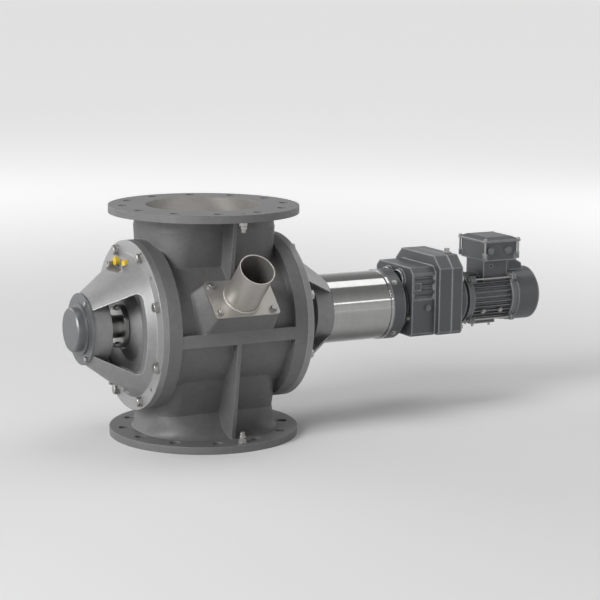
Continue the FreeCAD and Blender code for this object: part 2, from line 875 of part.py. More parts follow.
def vent_bolt_places():
    """The four bolts of the vent plate, seen along the vent's axis."""
    rows = (s.vent_bolt_y, -s.vent_bolt_y)
    return [(x, -s.vent_drop + y) for x in (s.vent_bolt_x, -s.vent_bolt_x) for y in rows]


def vent():
    """The vent on its inclined boss: gasket, plate, welded tube and four bolts."""
    lean = {"axis": (1, 0, 0), "turn": 45.0}
    gasket = Piece("vent_gasket", **lean)
    outline = box_corners(
        -s.vent_half_length, s.vent_half_length, -s.vent_drop - s.vent_half_height, -s.vent_drop + s.vent_half_height
    )
    bore = s.vent_tube - s.vent_tube_wall
    bolts = vent_bolt_places()
    sheet = gasket.polygon("XY", outline, s.vent_face)
    add_vent_holes(sheet, bore, bolts)
    gasket.pad(sheet, s.vent_gasket)
    gasket.soften(s.vent_corner, lambda edge: is_corner(edge, s.vent_half_length.value))
    plate = Piece("vent_plate", **lean)
    face = s.vent_face + s.vent_gasket
    sheet = plate.polygon("XY", outline, face)
    add_vent_holes(sheet, s.vent_tube, bolts)
    plate.pad(sheet, s.vent_plate)
    plate.soften(s.vent_corner, lambda edge: is_corner(edge, s.vent_half_length.value))
    tube = Piece("vent_tube", **lean)
    tube.pad(tube.circles("XY", [(0, -s.vent_drop, s.vent_tube)], face), s.vent_tube_length + s.vent_plate)
    ring = tube.circles("XY", [(0, -s.vent_drop, s.vent_tube + 2.5)], face + s.vent_plate)
    tube.pad(ring, 2.5)
    tube.pocket(tube.circles("XY", [(0, -s.vent_drop, bore)], face), s.vent_tube_length + 20, back=True)
    screws = Piece("vent_bolts", **lean)
    for x, y in bolts:
        pin(screws, face + s.vent_plate, x, y, 8.5, 1.6, plane="XY")
        bolt(screws, face + s.vent_plate + 1.6, x, y, VENT_SHANK, 13, 5.5, 20, plane="XY")


def add_vent_holes(sketch, bore, bolts):
    add_circle(sketch, as_size(0), -s.vent_drop, as_size(bore))
    for x, y in bolts:
        add_circle(sketch, as_size(x), as_size(y), as_size(VENT_SHANK))


def is_corner(edge, reach):
    """True for a short straight edge at the ends of a plate."""
    first, last = edge.Vertexes[0].Point, edge.Vertexes[-1].Point
    return abs(abs(first.x) - reach) < 0.01 and abs(abs(last.x) - reach) < 0.01 and edge.Length < 10


def earthing():
    """An earthing bolt at each flange, with its nut and washer."""
    piece = Piece("earth_bolts")
    top = s.shaft_height - s.flange_thick
    for way in (1, -1):
        pin(piece, way * (s.shaft_height - 5), EARTH_X, -EARTH_Y, EARTH_SHANK, 34, -way, plane="XY")
        pin(piece, way * top, EARTH_X, -EARTH_Y, 10, 2, -way, plane="XY")
        nut = piece.polygon("XY", hexagon(as_size(EARTH_X), -as_size(EARTH_Y), as_size(16)), way * (top - 2))
        piece.pad(nut, 7, back=way > 0)
        nut = piece.polygon("XY", hexagon(as_size(EARTH_X), -as_size(EARTH_Y), as_size(13), 20), way * (top - 10.5))
        piece.pad(nut, 5, back=way > 0)


def lantern():
    """The sleeve that carries the gear unit, its screws and the jaw coupling inside it."""
    end = s.bearing_start + s.bearing_width
    inner = s.bearing_radius - 4.5
    ring_end = s.sleeve_end + s.sleeve_ring_thick
    sleeve = turned(
        "lantern_sleeve",
        [
            (end, inner),
            (end, s.bearing_radius),
            (s.sleeve_start, s.bearing_radius),
            (s.sleeve_start, s.sleeve_radius),
            (s.sleeve_end, s.sleeve_radius),
            (s.sleeve_end, s.sleeve_ring),
            (ring_end, s.sleeve_ring),
            (ring_end, s.sleeve_lip),
            (s.sleeve_end, s.sleeve_lip),
            (s.sleeve_end, s.sleeve_radius - s.sleeve_wall),
            (s.sleeve_start + 6, s.sleeve_radius - s.sleeve_wall),
            (s.sleeve_start + 6, inner),
        ],
    )
    y, z = on_circle(s.sleeve_screw_circle, 45)
    for at, depth in ((s.sleeve_start + 6, 6), (ring_end, s.sleeve_ring_thick)):
        hole = sleeve.pocket(sleeve.circles("YZ", [(y, z, 4)], at), depth)
        sleeve.repeat([hole], 4)
    screws = Piece("sleeve_screws")
    features = bolt(screws, s.sleeve_start + 6, y, z, 4, 11, 5, 22)
    features += bolt(screws, s.sleeve_end, y, z, 4, 11, 5, 20, way=-1)
    screws.repeat(features, 4)
    jaw = JAW_DEPTH
    first_end = s.coupling_start + s.coupling_hub
    second = first_end + s.coupling_spider
    near, far = s.coupling_radius - 20, s.coupling_radius - 6
    flanks = [reach * TAN30 - SPIDER_LEG / COS30 for reach in (near, far)]
    jaws = [(-flanks[0], near), (-flanks[1], far), (flanks[1], far), (flanks[0], near)]
    hub = Piece("rotor_coupling_hub")
    hub.revolve(ring_corners(s.coupling_start, first_end, s.drive_seat, s.coupling_radius))
    hub.repeat([hub.pad(hub.polygon("YZ", jaws, first_end - 1), jaw + 1)], 3)
    hub = Piece("drive_coupling_hub", axis=(1, 0, 0), turn=60.0)
    hub.revolve(ring_corners(second, second + s.coupling_hub, s.output_radius, s.coupling_radius))
    hub.repeat([hub.pad(hub.polygon("YZ", jaws, second + 1), jaw + 1, back=True)], 3)
    spider = Piece("coupling_spider")
    spider.revolve(ring_corners(first_end + 3, second - 3, 12, near - 4))
    leg = spider.polygon("YZ", box_corners(-SPIDER_LEG, SPIDER_LEG, near - 6, far), first_end + 3)
    legs = spider.pad(leg, s.coupling_spider - 6)
    spider.repeat([legs], 6)
    spider.body.Placement = place(0, 0, s.shaft_height, (1, 0, 0), 30.0)


def case_outline(half, top, bottom, bevel, inset=0):
    """The gear case seen along the shaft: bevelled at the top corners, eased at the foot."""
    half, top, bottom = half - inset, top - inset, bottom - inset
    foot = 6
    return [
        (-half, foot - bottom),
        (foot - half, -bottom),
        (half - foot, -bottom),
        (half, foot - bottom),
        (half, top - bevel),
        (half - bevel, top),
        (bevel - half, top),
        (-half, top - bevel),
    ]


def front_outline(inset=0):
    return case_outline(s.front_half, s.front_top, s.front_bottom, s.front_bevel, inset)


def rear_outline(inset=0):
    return case_outline(s.rear_half, s.rear_top, s.rear_bottom, s.rear_bevel, inset)


def gear_case():
    """The gear unit's casting: round neck, narrow front, wide rear and an inner bulkhead."""
    piece = Piece("gear_case")
    start = s.sleeve_end + s.sleeve_ring_thick
    neck = [(start, 0), (start, s.sleeve_ring), (s.neck_end, s.sleeve_ring), (s.case_front, 62), (s.case_front, 0)]
    piece.revolve(neck)
    piece.pad(piece.polygon("YZ", front_outline(), s.case_front), s.case_step - s.case_front)
    piece.pad(piece.polygon("YZ", rear_outline(), s.case_step), s.case_seam - s.case_step)
    caps = [(y, layshaft_rise, BORE_CAP + 4) for y in (-s.layshaft_y, s.layshaft_y)]
    piece.pad(piece.circles("YZ", caps, s.case_front - 7), 8)
    for side in (1, -1):
        panel = piece.polygon("XZ", box_corners(s.case_front + 5, s.case_step - 4, 18, 72), side * s.front_half)
        piece.pocket(panel, 4.5, back=side < 0)
    flutes = [(side * (s.front_half - 11), z, 10.9) for side in (1, -1) for z in (33, 57)]
    piece.pad(piece.circles("YZ", flutes, s.case_front + 5), s.case_step - s.case_front - 9)
    front_wall = s.case_front + 14
    bulkhead = s.case_step - 16
    piece.pocket(piece.polygon("YZ", front_outline(s.case_wall), front_wall), bulkhead - front_wall, back=True)
    rear_depth = s.case_seam - s.case_step - s.case_wall
    piece.pocket(piece.polygon("YZ", rear_outline(s.case_wall), s.case_seam), rear_depth)
    bosses = piece.circles("YZ", [(y, z, 8) for y, z in CASE_SCREWS], s.case_step)
    piece.pad(bosses, s.case_seam - s.case_step)
    piece.pocket(piece.circles("YZ", [(y, z, 4) for y, z in CASE_SCREWS], s.case_seam), 14)
    piece.revolve(
        [
            (start - 1, 0),
            (start - 1, SEAL_RADIUS),
            (OUTPUT_BEARING, SEAL_RADIUS),
            (OUTPUT_BEARING, 36),
            (OUTPUT_BEARING + 17, 36),
            (OUTPUT_BEARING + 17, 22),
            (front_wall + 1, 22),
            (front_wall + 1, 0),
        ],
        cut=True,
    )
    bores = [(y, layshaft_rise, BORE_CAP) for y in (-s.layshaft_y, s.layshaft_y)]
    piece.pocket(piece.circles("YZ", bores, front_wall + 1), 23)
    through = [(0, 0, 31), (-s.layshaft_y, layshaft_rise, 15)]
    piece.pocket(piece.circles("YZ", through, s.case_step + s.case_wall + 1), s.case_wall + 18)
    y, z = on_circle(s.sleeve_screw_circle, 45)
    hole = piece.pocket(piece.circles("YZ", [(y, z, 4)], start), 16, back=True)
    piece.repeat([hole], 4)
    for side in (1, -1):
        plug = piece.circles("XZ", [(PLUG_X, PLUG_Z, 5)], side * s.front_half)
        piece.pocket(plug, s.case_wall + 1, back=side < 0)
    return piece


def gear_cover():
    """The rear cover and its round lantern towards the motor."""
    piece = Piece("gear_cover")
    piece.pad(piece.polygon("YZ", rear_outline(), s.case_seam), s.cover_end - s.case_seam)
    lantern_end = s.motor_seat - 8
    piece.revolve(
        [
            (s.cover_end - 1, 0),
            (s.cover_end - 1, s.shield_radius),
            (lantern_end, s.shield_radius),
            (lantern_end, s.shield_radius - 9),
            (s.motor_seat, s.shield_radius - 9),
            (s.motor_seat, 0),
        ]
    )
    piece.revolve(
        [
            (s.case_seam - 1, 0),
            (s.case_seam - 1, 13),
            (MOTOR_SEAL, 13),
            (MOTOR_SEAL, 18),
            (s.cover_end, 18),
            (s.cover_end, s.shield_radius - 16),
            (s.motor_seat + 1, s.shield_radius - 16),
            (s.motor_seat + 1, 0),
        ],
        cut=True,
    )
    piece.pocket(piece.circles("YZ", [(-s.layshaft_y, layshaft_rise, BORE_CAP)], s.case_seam), 14, back=True)
    vent = piece.circles("XY", [(BREATHER_X, BREATHER_Y, 5)], s.rear_top)
    piece.pocket(vent, 10)
    screws = piece.circles("YZ", [(y, z, 4) for y, z in CASE_SCREWS], s.cover_end)
    piece.pocket(screws, s.cover_end - s.case_seam)
    return piece


def gear_trim():
    """Screws, bore caps, oil plugs, breather and the two oil seals."""
    screws = Piece("case_screws")
    for y, z in CASE_SCREWS:
        bolt(screws, s.cover_end, y, z, 4, 13, 5.5, s.cover_end - s.case_seam + 13)
    caps = Piece("bore_caps")
    for y in (-s.layshaft_y, s.layshaft_y):
        pin(caps, s.case_front - 2, y, layshaft_rise, BORE_CAP, 3)
    plugs = Piece("oil_plugs")
    for side in (1, -1):
        bolt(plugs, side * s.front_half, PLUG_X, PLUG_Z, 5, 14, 5, 6, way=side, plane="XZ")
    breather = Piece("breather")
    bolt(breather, s.rear_top, BREATHER_X, BREATHER_Y, 5, 17, 4, 10, plane="XY")
    pin(breather, s.rear_top + 4, BREATHER_X, BREATHER_Y, 6, 8, plane="XY")
    seals = Piece("oil_seals")
    start = s.sleeve_end + s.sleeve_ring_thick
    seals.revolve(ring_corners(start + 1, OUTPUT_BEARING - 1, s.output_radius + 0.05, SEAL_RADIUS))
    seals.revolve(ring_corners(MOTOR_SEAL, s.cover_end - 1, s.layshaft_radius + 0.05, 18))


def tooth_outline(module, teeth, phase):
    """The outline of a spur gear in its own plane, six points to a tooth."""
    pressure = math.radians(20)
    pitch = module * teeth / 2
    base = pitch * math.cos(pressure)
    points = []
    for tooth in range(teeth):
        centre = phase + 2 * math.pi * tooth / teeth
        flank = []
        for radius in (pitch - 1.25 * module, pitch, pitch + module):
            lean = math.acos(min(1.0, base / radius))
            spread = math.pi / (2 * teeth) + math.tan(pressure) - pressure - math.tan(lean) + lean
            flank.append((radius, spread - BACKLASH / pitch))
        flank = [(r, -a) for r, a in flank] + [(r, a) for r, a in reversed(flank)]
        points += [(r * math.cos(centre + a), r * math.sin(centre + a)) for r, a in flank]
    return [FreeCAD.Vector(0, y, z) for y, z in points]


def gear(label, teeth, start, width, bore, phase, y=0, z=0, ends=None):
    """A spur gear with a plain bore, or one piece with a shaft that runs between the ends."""
    teeth = int(teeth.value)
    points = tooth_outline(s.gear_module.value, teeth, phase)
    blank = Part.Face(Part.makePolygon(points + points[:1])).extrude(FreeCAD.Vector(width.value, 0, 0))
    along = FreeCAD.Vector(1, 0, 0)
    item = doc.addObject("Part::Feature", label)
    item.Label = label
    if ends:
        first, last = ends
        base = FreeCAD.Vector(first - start.value, 0, 0)
        item.Shape = blank.fuse(Part.makeCylinder(bore.value, last - first, base, along)).removeSplitter()
    else:
        item.Shape = blank.cut(Part.makeCylinder(bore.value, width.value * 2, FreeCAD.Vector(-5, 0, 0), along))
    item.Placement = place(start, y, s.shaft_height + z)
    bind_point(item, "Placement", (start, y, s.shaft_height + z))
    exported.append(item)


def gear_train():
    """Two spur stages: motor pinion to layshaft wheel, layshaft pinion to output wheel."""
    away = math.atan2(layshaft_rise.value, -s.layshaft_y.value)
    back = away + math.pi
    gear("output_gear", s.wheel_teeth_out, s.wheel_out_start, s.gear_width, s.output_radius, away)
    gear("motor_pinion", s.pinion_teeth_in, s.wheel_in_start - 1, s.gear_width - 2, s.layshaft_radius, away)
    at = {"y": -s.layshaft_y, "z": layshaft_rise}
    half = math.pi / s.pinion_teeth_out.value
    gear(
        "layshaft",
        s.pinion_teeth_out,
        s.wheel_out_start - 1,
        s.gear_width + 2,
        s.layshaft_radius,
        back + half,
        ends=(LAY_FRONT, LAY_REAR + 12),
        **at,
    )
    half = math.pi / s.wheel_teeth_in.value
    gear("layshaft_gear", s.wheel_teeth_in, s.wheel_in_start, s.gear_width - 4, s.layshaft_radius, back + half, **at)
    shaft = Piece("output_shaft")
    end = s.case_step + 2
    seat = s.case_step - 16
    shaft.revolve(
        [
            (OUTPUT_START, 0),
            (OUTPUT_START, s.output_radius),
            (seat, s.output_radius),
            (seat, 15),
            (end, 15),
            (end, 0),
        ]
    )


def drive_bearings():
    """Roller bearings of the output shaft, the layshaft and the motor shaft."""
    line = {"y": 0, "z": 0}
    side = {"y": s.layshaft_y, "z": layshaft_rise}
    rows = [
        ("output_bearing_inners", line, ((OUTPUT_BEARING, 17, s.output_radius, 36), (s.case_step - 16, 16, 15, 31))),
        (
            "layshaft_bearing_inners",
            side,
            ((LAY_FRONT, 12, s.layshaft_radius, BORE_CAP), (LAY_REAR, 12, s.layshaft_radius, BORE_CAP)),
        ),
        (
            "motor_bearing_inners",
            line,
            ((MOTOR_FRONT, 12, s.layshaft_radius, BORE_CAP), (MOTOR_REAR, 12, s.layshaft_radius, BORE_CAP)),
        ),
    ]
    outers = Piece("drive_bearing_outers")
    rollers = Piece("drive_bearing_rollers")
    for label, where, bearings in rows:
        inners = Piece(label)
        for x, width, bore, outer in bearings:
            inner, outside, circle, radius, start, length = roller_bearing(x, width, bore, outer)
            inners.revolve(inner, shift=(0, where["z"]), at=where["y"])
            outers.revolve(outside, shift=(0, where["z"]), at=where["y"])
            roller = rollers.circles("YZ", [(circle, 0, radius)], start, (-where["y"], where["z"]))
            rollers.repeat([rollers.pad(roller, length)], 8, (roller, ["N_Axis"]))


def motor_body():
    """Finned frame between two end shields, with feet, pedestal and through bolts."""
    ears = [(y * EAR, z * EAR, 8) for y in (1, -1) for z in (1, -1)]
    shield = Piece("motor_flange")
    end = s.frame_start
    shield.revolve(
        [
            (s.motor_seat, s.layshaft_radius + 3),
            (s.motor_seat, s.shield_radius),
            (end - 6, s.shield_radius),
            (end, s.shield_radius - 6),
            (end, s.frame_radius - 6),
            (s.motor_seat + 4, s.frame_radius - 8),
            (s.motor_seat + 4, BORE_CAP + 6),
            (MOTOR_FRONT + 12, BORE_CAP + 4),
            (MOTOR_FRONT + 12, BORE_CAP),
            (MOTOR_FRONT, BORE_CAP),
            (MOTOR_FRONT, s.layshaft_radius + 3),
        ]
    )
    shield.pad(shield.circles("YZ", ears, end - 14), 14)
    bolts = [(y, z, 2.5) for y, z, radius in ears]
    shield.pocket(shield.circles("YZ", bolts, end), 14)
    frame = Piece("motor_frame")
    frame.revolve(ring_corners(s.frame_start, s.frame_end, s.frame_radius - 6, s.frame_radius))
    fin = frame.polygon("XZ", box_corners(s.frame_start, s.frame_end, s.frame_radius - 2, s.fin_radius))
    frame.repeat([frame.pad(fin, s.fin_thick, both=True)], 30)
    pedestal = frame.polygon("XY", box_corners(s.box_near + 12, s.box_far - 22, -36, 36), s.frame_radius - 14)
    frame.pad(pedestal, s.box_floor - s.frame_radius + 14)
    feet = frame.polygon("XY", box_corners(s.frame_start + 8, s.frame_start + 74, -24, 24), -s.shield_radius)
    frame.pad(feet, 20)
    frame.pocket(frame.circles("YZ", [(0, 0, s.frame_radius - 6)], s.frame_end), s.frame_end - s.frame_start)
    frame.pocket(frame.circles("XY", [(s.box_near + 45, 0, 12)], s.box_floor), s.box_floor - 30)
    frame.pocket(frame.circles("XZ", [(s.box_near + 34, s.box_floor - 14, 3)], 36), 6)
    rear = Piece("motor_rear_shield")
    outer = s.shield_radius - 2
    rear.revolve(
        [
            (s.frame_end, s.frame_radius - 6),
            (s.frame_end, outer),
            (s.shield_end, outer),
            (s.shield_end, s.layshaft_radius + 1),
            (MOTOR_REAR + 12, s.layshaft_radius + 1),
            (MOTOR_REAR + 12, BORE_CAP),
            (MOTOR_REAR, BORE_CAP),
            (MOTOR_REAR, BORE_CAP + 4),
            (s.shield_end - 5, BORE_CAP + 8),
            (s.shield_end - 5, s.frame_radius - 8),
        ]
    )
    rear.pad(rear.circles("YZ", ears, s.frame_end), 10)
    rear.pocket(rear.circles("YZ", bolts, s.frame_end), 10, back=True)


def motor_inside():
    """Stator with its windings, rotor, shaft and the cooling fan."""
    core = (s.frame_start + 14, s.frame_end - 20)
    outer = s.frame_radius - 6
    turned("stator_core", ring_corners(core[0], core[1], s.stator_bore, outer))
    coils = Piece("stator_windings")
    coils.revolve(ring_corners(core[0] - 10, core[0], s.stator_bore + 2, outer - 2))
    coils.revolve(ring_corners(core[1], core[1] + 10, s.stator_bore + 2, outer - 2))
    turned("motor_rotor_core", ring_corners(core[0], core[1], MOTOR_CORE, s.stator_bore - s.running_gap))
    front, rear = MOTOR_FRONT + 12, MOTOR_REAR
    shaft = [
        (s.wheel_in_start - 2, 0),
        (s.wheel_in_start - 2, s.layshaft_radius),
        (front, s.layshaft_radius),
        (front, MOTOR_CORE),
        (rear, MOTOR_CORE),
        (rear, s.layshaft_radius),
        (FAN_START + 24, s.layshaft_radius),
        (FAN_START + 24, 0),
    ]
    turned("motor_shaft", shaft)
    fan = Piece("motor_fan")
    fan.revolve(
        [
            (FAN_START, s.layshaft_radius),
            (FAN_START, 50),
            (FAN_START + 2.5, 50),
            (FAN_START + 4, 16),
            (FAN_START + 22, 14),
            (FAN_START + 22, s.layshaft_radius),
        ]
    )
    blade = fan.polygon("XZ", [(FAN_START + 1, 13), (FAN_START + 20, 13), (FAN_START + 18, 54), (FAN_START + 1, 54)])
    fan.repeat([fan.pad(blade, 2.4, both=True)], 7)


def fan_cowl():
    """The pressed cowl over the fan, with a slotted end and a raised top."""
    piece = Piece("fan_cowl")
    start = s.shield_end - 4
    outer, inner = s.shield_radius, s.shield_radius - 2
    piece.revolve([(start, 0), (start, outer), (s.cowl_end - 6, outer), (s.cowl_end, outer - 7), (s.cowl_end, 0)])
    hump = piece.polygon(
        "XZ", [(start - 6, 55), (start - 6, 82), (start + 12, 85), (start + 32, 74), (start + 36, 55)]
    )
    piece.pad(hump, 38, both=True)
    piece.pocket(piece.circles("YZ", [(0, 0, inner)], start - 7), s.cowl_end - start + 1, back=True)
    slot = piece.polygon("YZ", box_corners(-2.2, 2.2, 20, inner - 7), s.cowl_end)
    piece.repeat([piece.pocket(slot, 8)], 16)


def terminal_box():
    """The connection box on the frame: body, lid, plugs, terminals and screws."""
    box = Piece("terminal_box")
    near, far, half = s.box_near + 6, s.box_far - 6, s.box_half - 6
    box.pad(box.polygon("XY", box_corners(near, far, -half, half), s.box_floor), s.box_top - s.box_floor)
    corners = [(x, y, 6.5) for x in (near, far) for y in (half, -half)]
    for x, y, radius in corners:
        box.pad(box.circles("XY", [(x, y, radius)], s.box_floor + 4), 14)
    inside = box.polygon("XY", box_corners(near + 8, far - 8, 5 - half, half - 5), s.box_top)
    box.pocket(inside, s.box_top - s.box_floor - 5)
    box.pocket(box.circles("XY", [(s.box_near + 45, 0, 12)], s.box_top), s.box_top - s.box_floor)
    box.pocket(box.circles("XY", [(x, y, 2.4) for x, y in lid_screw_places()], s.box_floor + 18), 10)
    ports = box.circles("XZ", [(x, PORT_RISE, 6) for x in CABLE_PORTS], half)
    box.pocket(ports, 5)
    plugs = Piece("blanking_plugs")
    for x in CABLE_PORTS:
        pin(plugs, half, x, PORT_RISE, 9, 4, plane="XZ")
        pin(plugs, half + 4, x, PORT_RISE, 7, 2, plane="XZ")
        pin(plugs, half, x, PORT_RISE, 6, 8, -1, plane="XZ")
    lid = Piece("terminal_lid")
    edge = box_corners(s.box_near, s.box_far, -s.box_half, s.box_half)
    crown = box_corners(s.box_near + 16, s.box_far - 16, 16 - s.box_half, s.box_half - 16)
    lid.pad(lid.polygon("XY", edge, s.box_top), 4)
    lid.loft([lid.polygon("XY", edge, s.box_top + 4), lid.polygon("XY", crown, s.box_top + s.lid_thick)])
    lid.pocket(lid.circles("XY", [(x, y, 4.2) for x, y in lid_screw_places()], s.box_top + 4), 8, back=True)
    lid.pocket(lid.circles("XY", [(x, y, 2.4) for x, y in lid_screw_places()], s.box_top + 4), 4)
    block = Piece("terminal_block")
    middle = (s.box_near + s.box_far) / 2
    block.pad(block.polygon("XY", box_corners(middle + 12, middle + 34, -26, 26), s.box_floor + 5), 14)
    posts = [(middle + x, y, 2.2) for x in (18, 28) for y in (-16, 0, 16)]
    block.pad(block.circles("XY", posts, s.box_floor + 18), 8)


def lid_screw_places():
    """The lid's screws stand just outside the corners of the box."""
    half = s.box_half - 3
    return [(x, y) for x in (s.box_near + 4, s.box_far - 4) for y in (half, -half)]


def motor_screws():
    """Lid screws, the four through bolts and the studs of the feet."""
    piece = Piece("motor_screws")
    for x, y in lid_screw_places():
        pin(piece, s.box_top + 4, x, y, 4, 4, plane="XY")
        pin(piece, s.box_top + 4, x, y, 2.4, 34, -1, plane="XY")
    for y in (EAR, -EAR):
        for z in (EAR, -EAR):
            bolt(piece, s.frame_start - 14, y, z, 2.5, 8, 4, s.frame_end - s.frame_start + 24, way=-1)
    for x in (s.frame_start + 18, s.frame_start + 64):
        for y in (15, -15):
            pin(piece, -s.shield_radius, x, y, 3, 7, -1, plane="XY")


def check_and_export():
    """Stops on any failed object, then writes one file per sub-part."""
    doc.recompute()
    for item in doc.Objects:
        if "Invalid" in item.State or "Error" in item.State:
            raise RuntimeError("%s: %s" % (item.Label, item.State))
    os.makedirs("parts", exist_ok=True)
    for item in exported:
        if item.Shape.isNull() or not item.Shape.isValid():
            raise RuntimeError(item.Label + " has no valid shape")
        item.Shape.exportStep("parts/%s.step" % item.Label)
        print(item.Label, len(item.Shape.Solids), round(item.Shape.Volume))


housing()
blind = end_cover("blind_cover", 180.0, s.boss_radius)
blind.pocket(blind.circles("YZ", cap_screw_places(), s.boss_end), 16)
drive = end_cover("drive_cover", 0.0, s.boss_radius_drive)
first_screw = drive.circles("YZ", [on_circle(s.sleeve_screw_circle, 45) + (4,)], s.boss_end)
drive.repeat([drive.pocket(first_screw, 17)], 4)
cover_fasteners()
rotor()
main_bearings()
shaft_seals()
bearing_cap()
purge_plugs()
vent()
earthing()
lantern()
gear_case()
gear_cover()
gear_trim()
gear_train()
drive_bearings()
motor_body()
motor_inside()
fan_cowl()
terminal_box()
motor_screws()
check_and_export()
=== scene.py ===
"""Dresses the rotary airlock valve: finishes, small fittings, studio and camera."""
import logging
import math
from dataclasses import dataclass
from enum import Enum
from typing import ClassVar, Mapping, Sequence

import bpy
from mathutils import Euler, Matrix, Vector


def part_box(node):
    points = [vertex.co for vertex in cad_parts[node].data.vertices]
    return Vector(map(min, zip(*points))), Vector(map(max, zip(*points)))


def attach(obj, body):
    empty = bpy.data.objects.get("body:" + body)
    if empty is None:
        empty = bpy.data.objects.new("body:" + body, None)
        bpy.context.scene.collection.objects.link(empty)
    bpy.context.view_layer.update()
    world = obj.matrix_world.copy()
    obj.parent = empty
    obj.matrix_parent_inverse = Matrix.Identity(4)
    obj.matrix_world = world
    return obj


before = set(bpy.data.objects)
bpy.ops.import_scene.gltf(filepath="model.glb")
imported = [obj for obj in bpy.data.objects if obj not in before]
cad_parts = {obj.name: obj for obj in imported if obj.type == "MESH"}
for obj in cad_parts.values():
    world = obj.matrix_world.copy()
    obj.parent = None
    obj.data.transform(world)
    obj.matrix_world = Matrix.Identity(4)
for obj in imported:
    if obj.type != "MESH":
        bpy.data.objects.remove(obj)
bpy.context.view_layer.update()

log = logging.getLogger("valve")

Colour = tuple[float, float, float]
Point = tuple[float, float, float]

X, Y, Z = range(3)
SIDES = (1.0, -1.0)
HALF_ROOT = math.sqrt(0.5)
SHARP_EDGE = math.radians(32.0)

# Corners of outlines: a square's, a hexagon's, and those of round ones from coarse to finest.
SQUARE = 4
HEXAGON = 6
COARSE = 10
ROUND = 24
CROWN = 28
FINE = 64
FINEST = 96

# Ways to face: up, towards the motor, towards the blind end and out to the side.
UP: Point = (0.0, 0.0, 1.0)
FORTH: Point = (1.0, 0.0, 0.0)
BACK: Point = (-1.0, 0.0, 0.0)
OUT: Point = (0.0, 1.0, 0.0)

SHAFT_HEIGHT = 0.25
THROAT_RISE = 0.1
HOUSING_END = 0.1605
COVER_RIM = 0.175
STUDIO_MIDDLE: Point = (0.1, 0.0, SHAFT_HEIGHT)


def edges(node: str, axis: int) -> tuple[float, float]:
    """The lowest and highest coordinate of a CAD node along an axis, at rest."""
    return tuple(corner[axis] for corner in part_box(node))


def middle(node: str, axis: int) -> float:
    """The middle of a CAD node's box along an axis."""
    return sum(edges(node, axis)) / 2.0


def shaded(colour: Colour, factor: float) -> Colour:
    """A colour made lighter or darker."""
    return tuple(min(1.0, channel * factor) for channel in colour)


class Wire:
    """One output of a node, which takes part in arithmetic."""

    def __init__(self, graph: "Graph", socket: bpy.types.NodeSocket | None) -> None:
        """Keeps the socket and the graph that it belongs to."""
        self.graph = graph
        self.socket = socket

    def maths(self, operation: str, other: "Wire | float" = 0.0, swap: bool = False) -> "Wire":
        """Adds one Math node.

        Args:
            operation: The node's operation.
            other: The second operand.
            swap: Puts this value second.

        Returns:
            The node's result.
        """
        first, second = (other, self) if swap else (self, other)
        return self.graph.add("ShaderNodeMath", {"operation": operation}, {0: first, 1: second})

    def __add__(self, other: "Wire | float") -> "Wire":
        """Sum."""
        return self.maths("ADD", other)

    def __radd__(self, other: float) -> "Wire":
        """Sum with a number on the left."""
        return self.maths("ADD", other)

    def __sub__(self, other: "Wire | float") -> "Wire":
        """Difference."""
        return self.maths("SUBTRACT", other)

    def __rsub__(self, other: float) -> "Wire":
        """Difference from a number on the left."""
        return self.maths("SUBTRACT", other, swap=True)

    def __mul__(self, other: "Wire | float") -> "Wire":
        """Product."""
        return self.maths("MULTIPLY", other)

    def __rmul__(self, other: float) -> "Wire":
        """Product with a number on the left."""
        return self.maths("MULTIPLY", other)

    def __truediv__(self, other: "Wire | float") -> "Wire":
        """Quotient."""
        return self.maths("DIVIDE", other)

    def __rtruediv__(self, other: float) -> "Wire":
        """Quotient of a number on the left."""
        return self.maths("DIVIDE", other, swap=True)

    def __pow__(self, other: "Wire | float") -> "Wire":
        """Power."""
        return self.maths("POWER", other)

    def __rpow__(self, other: float) -> "Wire":
        """Power of a number on the left."""
        return self.maths("POWER", other, swap=True)

    def __lt__(self, other: "Wire | float") -> "Wire":
        """One where this value is the smaller."""
        return self.maths("LESS_THAN", other)

    def __gt__(self, other: "Wire | float") -> "Wire":
        """One where this value is the larger."""
        return self.maths("GREATER_THAN", other)

    def __abs__(self) -> "Wire":
        """Size without sign."""
        return self.maths("ABSOLUTE")

    def clamped(self) -> "Wire":
        """Held between 0 and 1."""
        return self.maths("MINIMUM", 1.0).maths("MAXIMUM", 0.0)

    def across(self, other: "Wire") -> "Wire":
        """The diagonal of a rectangle whose sides are this value and the other."""
        return (self * self + other * other) ** 0.5


Look = tuple[Wire, Wire, Wire]
Inputs = Mapping[str, Wire]


class Graph:
    """A node tree under construction, for a material or for a mesh recipe."""

    def __init__(self, tree: bpy.types.NodeTree) -> None:
        """Keeps the tree."""
        self.tree = tree

    def add(
        self,
        kind: str,
        settings: Mapping[str, object] | None = None,
        sockets: Mapping[str | int, object] | None = None,
        output: str | int = 0,
    ) -> Wire:
        """Adds a node.

        Args:
            kind: The node's type.
            settings: Attributes, set first.
            sockets: Values or wires for the inputs, by name or number; a list feeds one input.
            output: The output to hand back.

        Returns:
            The chosen output, or an empty wire where the node has none.
        """
        node = self.tree.nodes.new(kind)
        for name, value in (settings or {}).items():
            setattr(node, name, value)
        for key, value in (sockets or {}).items():
            for one in value if isinstance(value, list) else [value]:
                if isinstance(one, Wire):
                    self.tree.links.new(one.socket, node.inputs[key])
                else:
                    node.inputs[key].default_value = one
        return Wire(self, node.outputs[output] if len(node.outputs) else None)


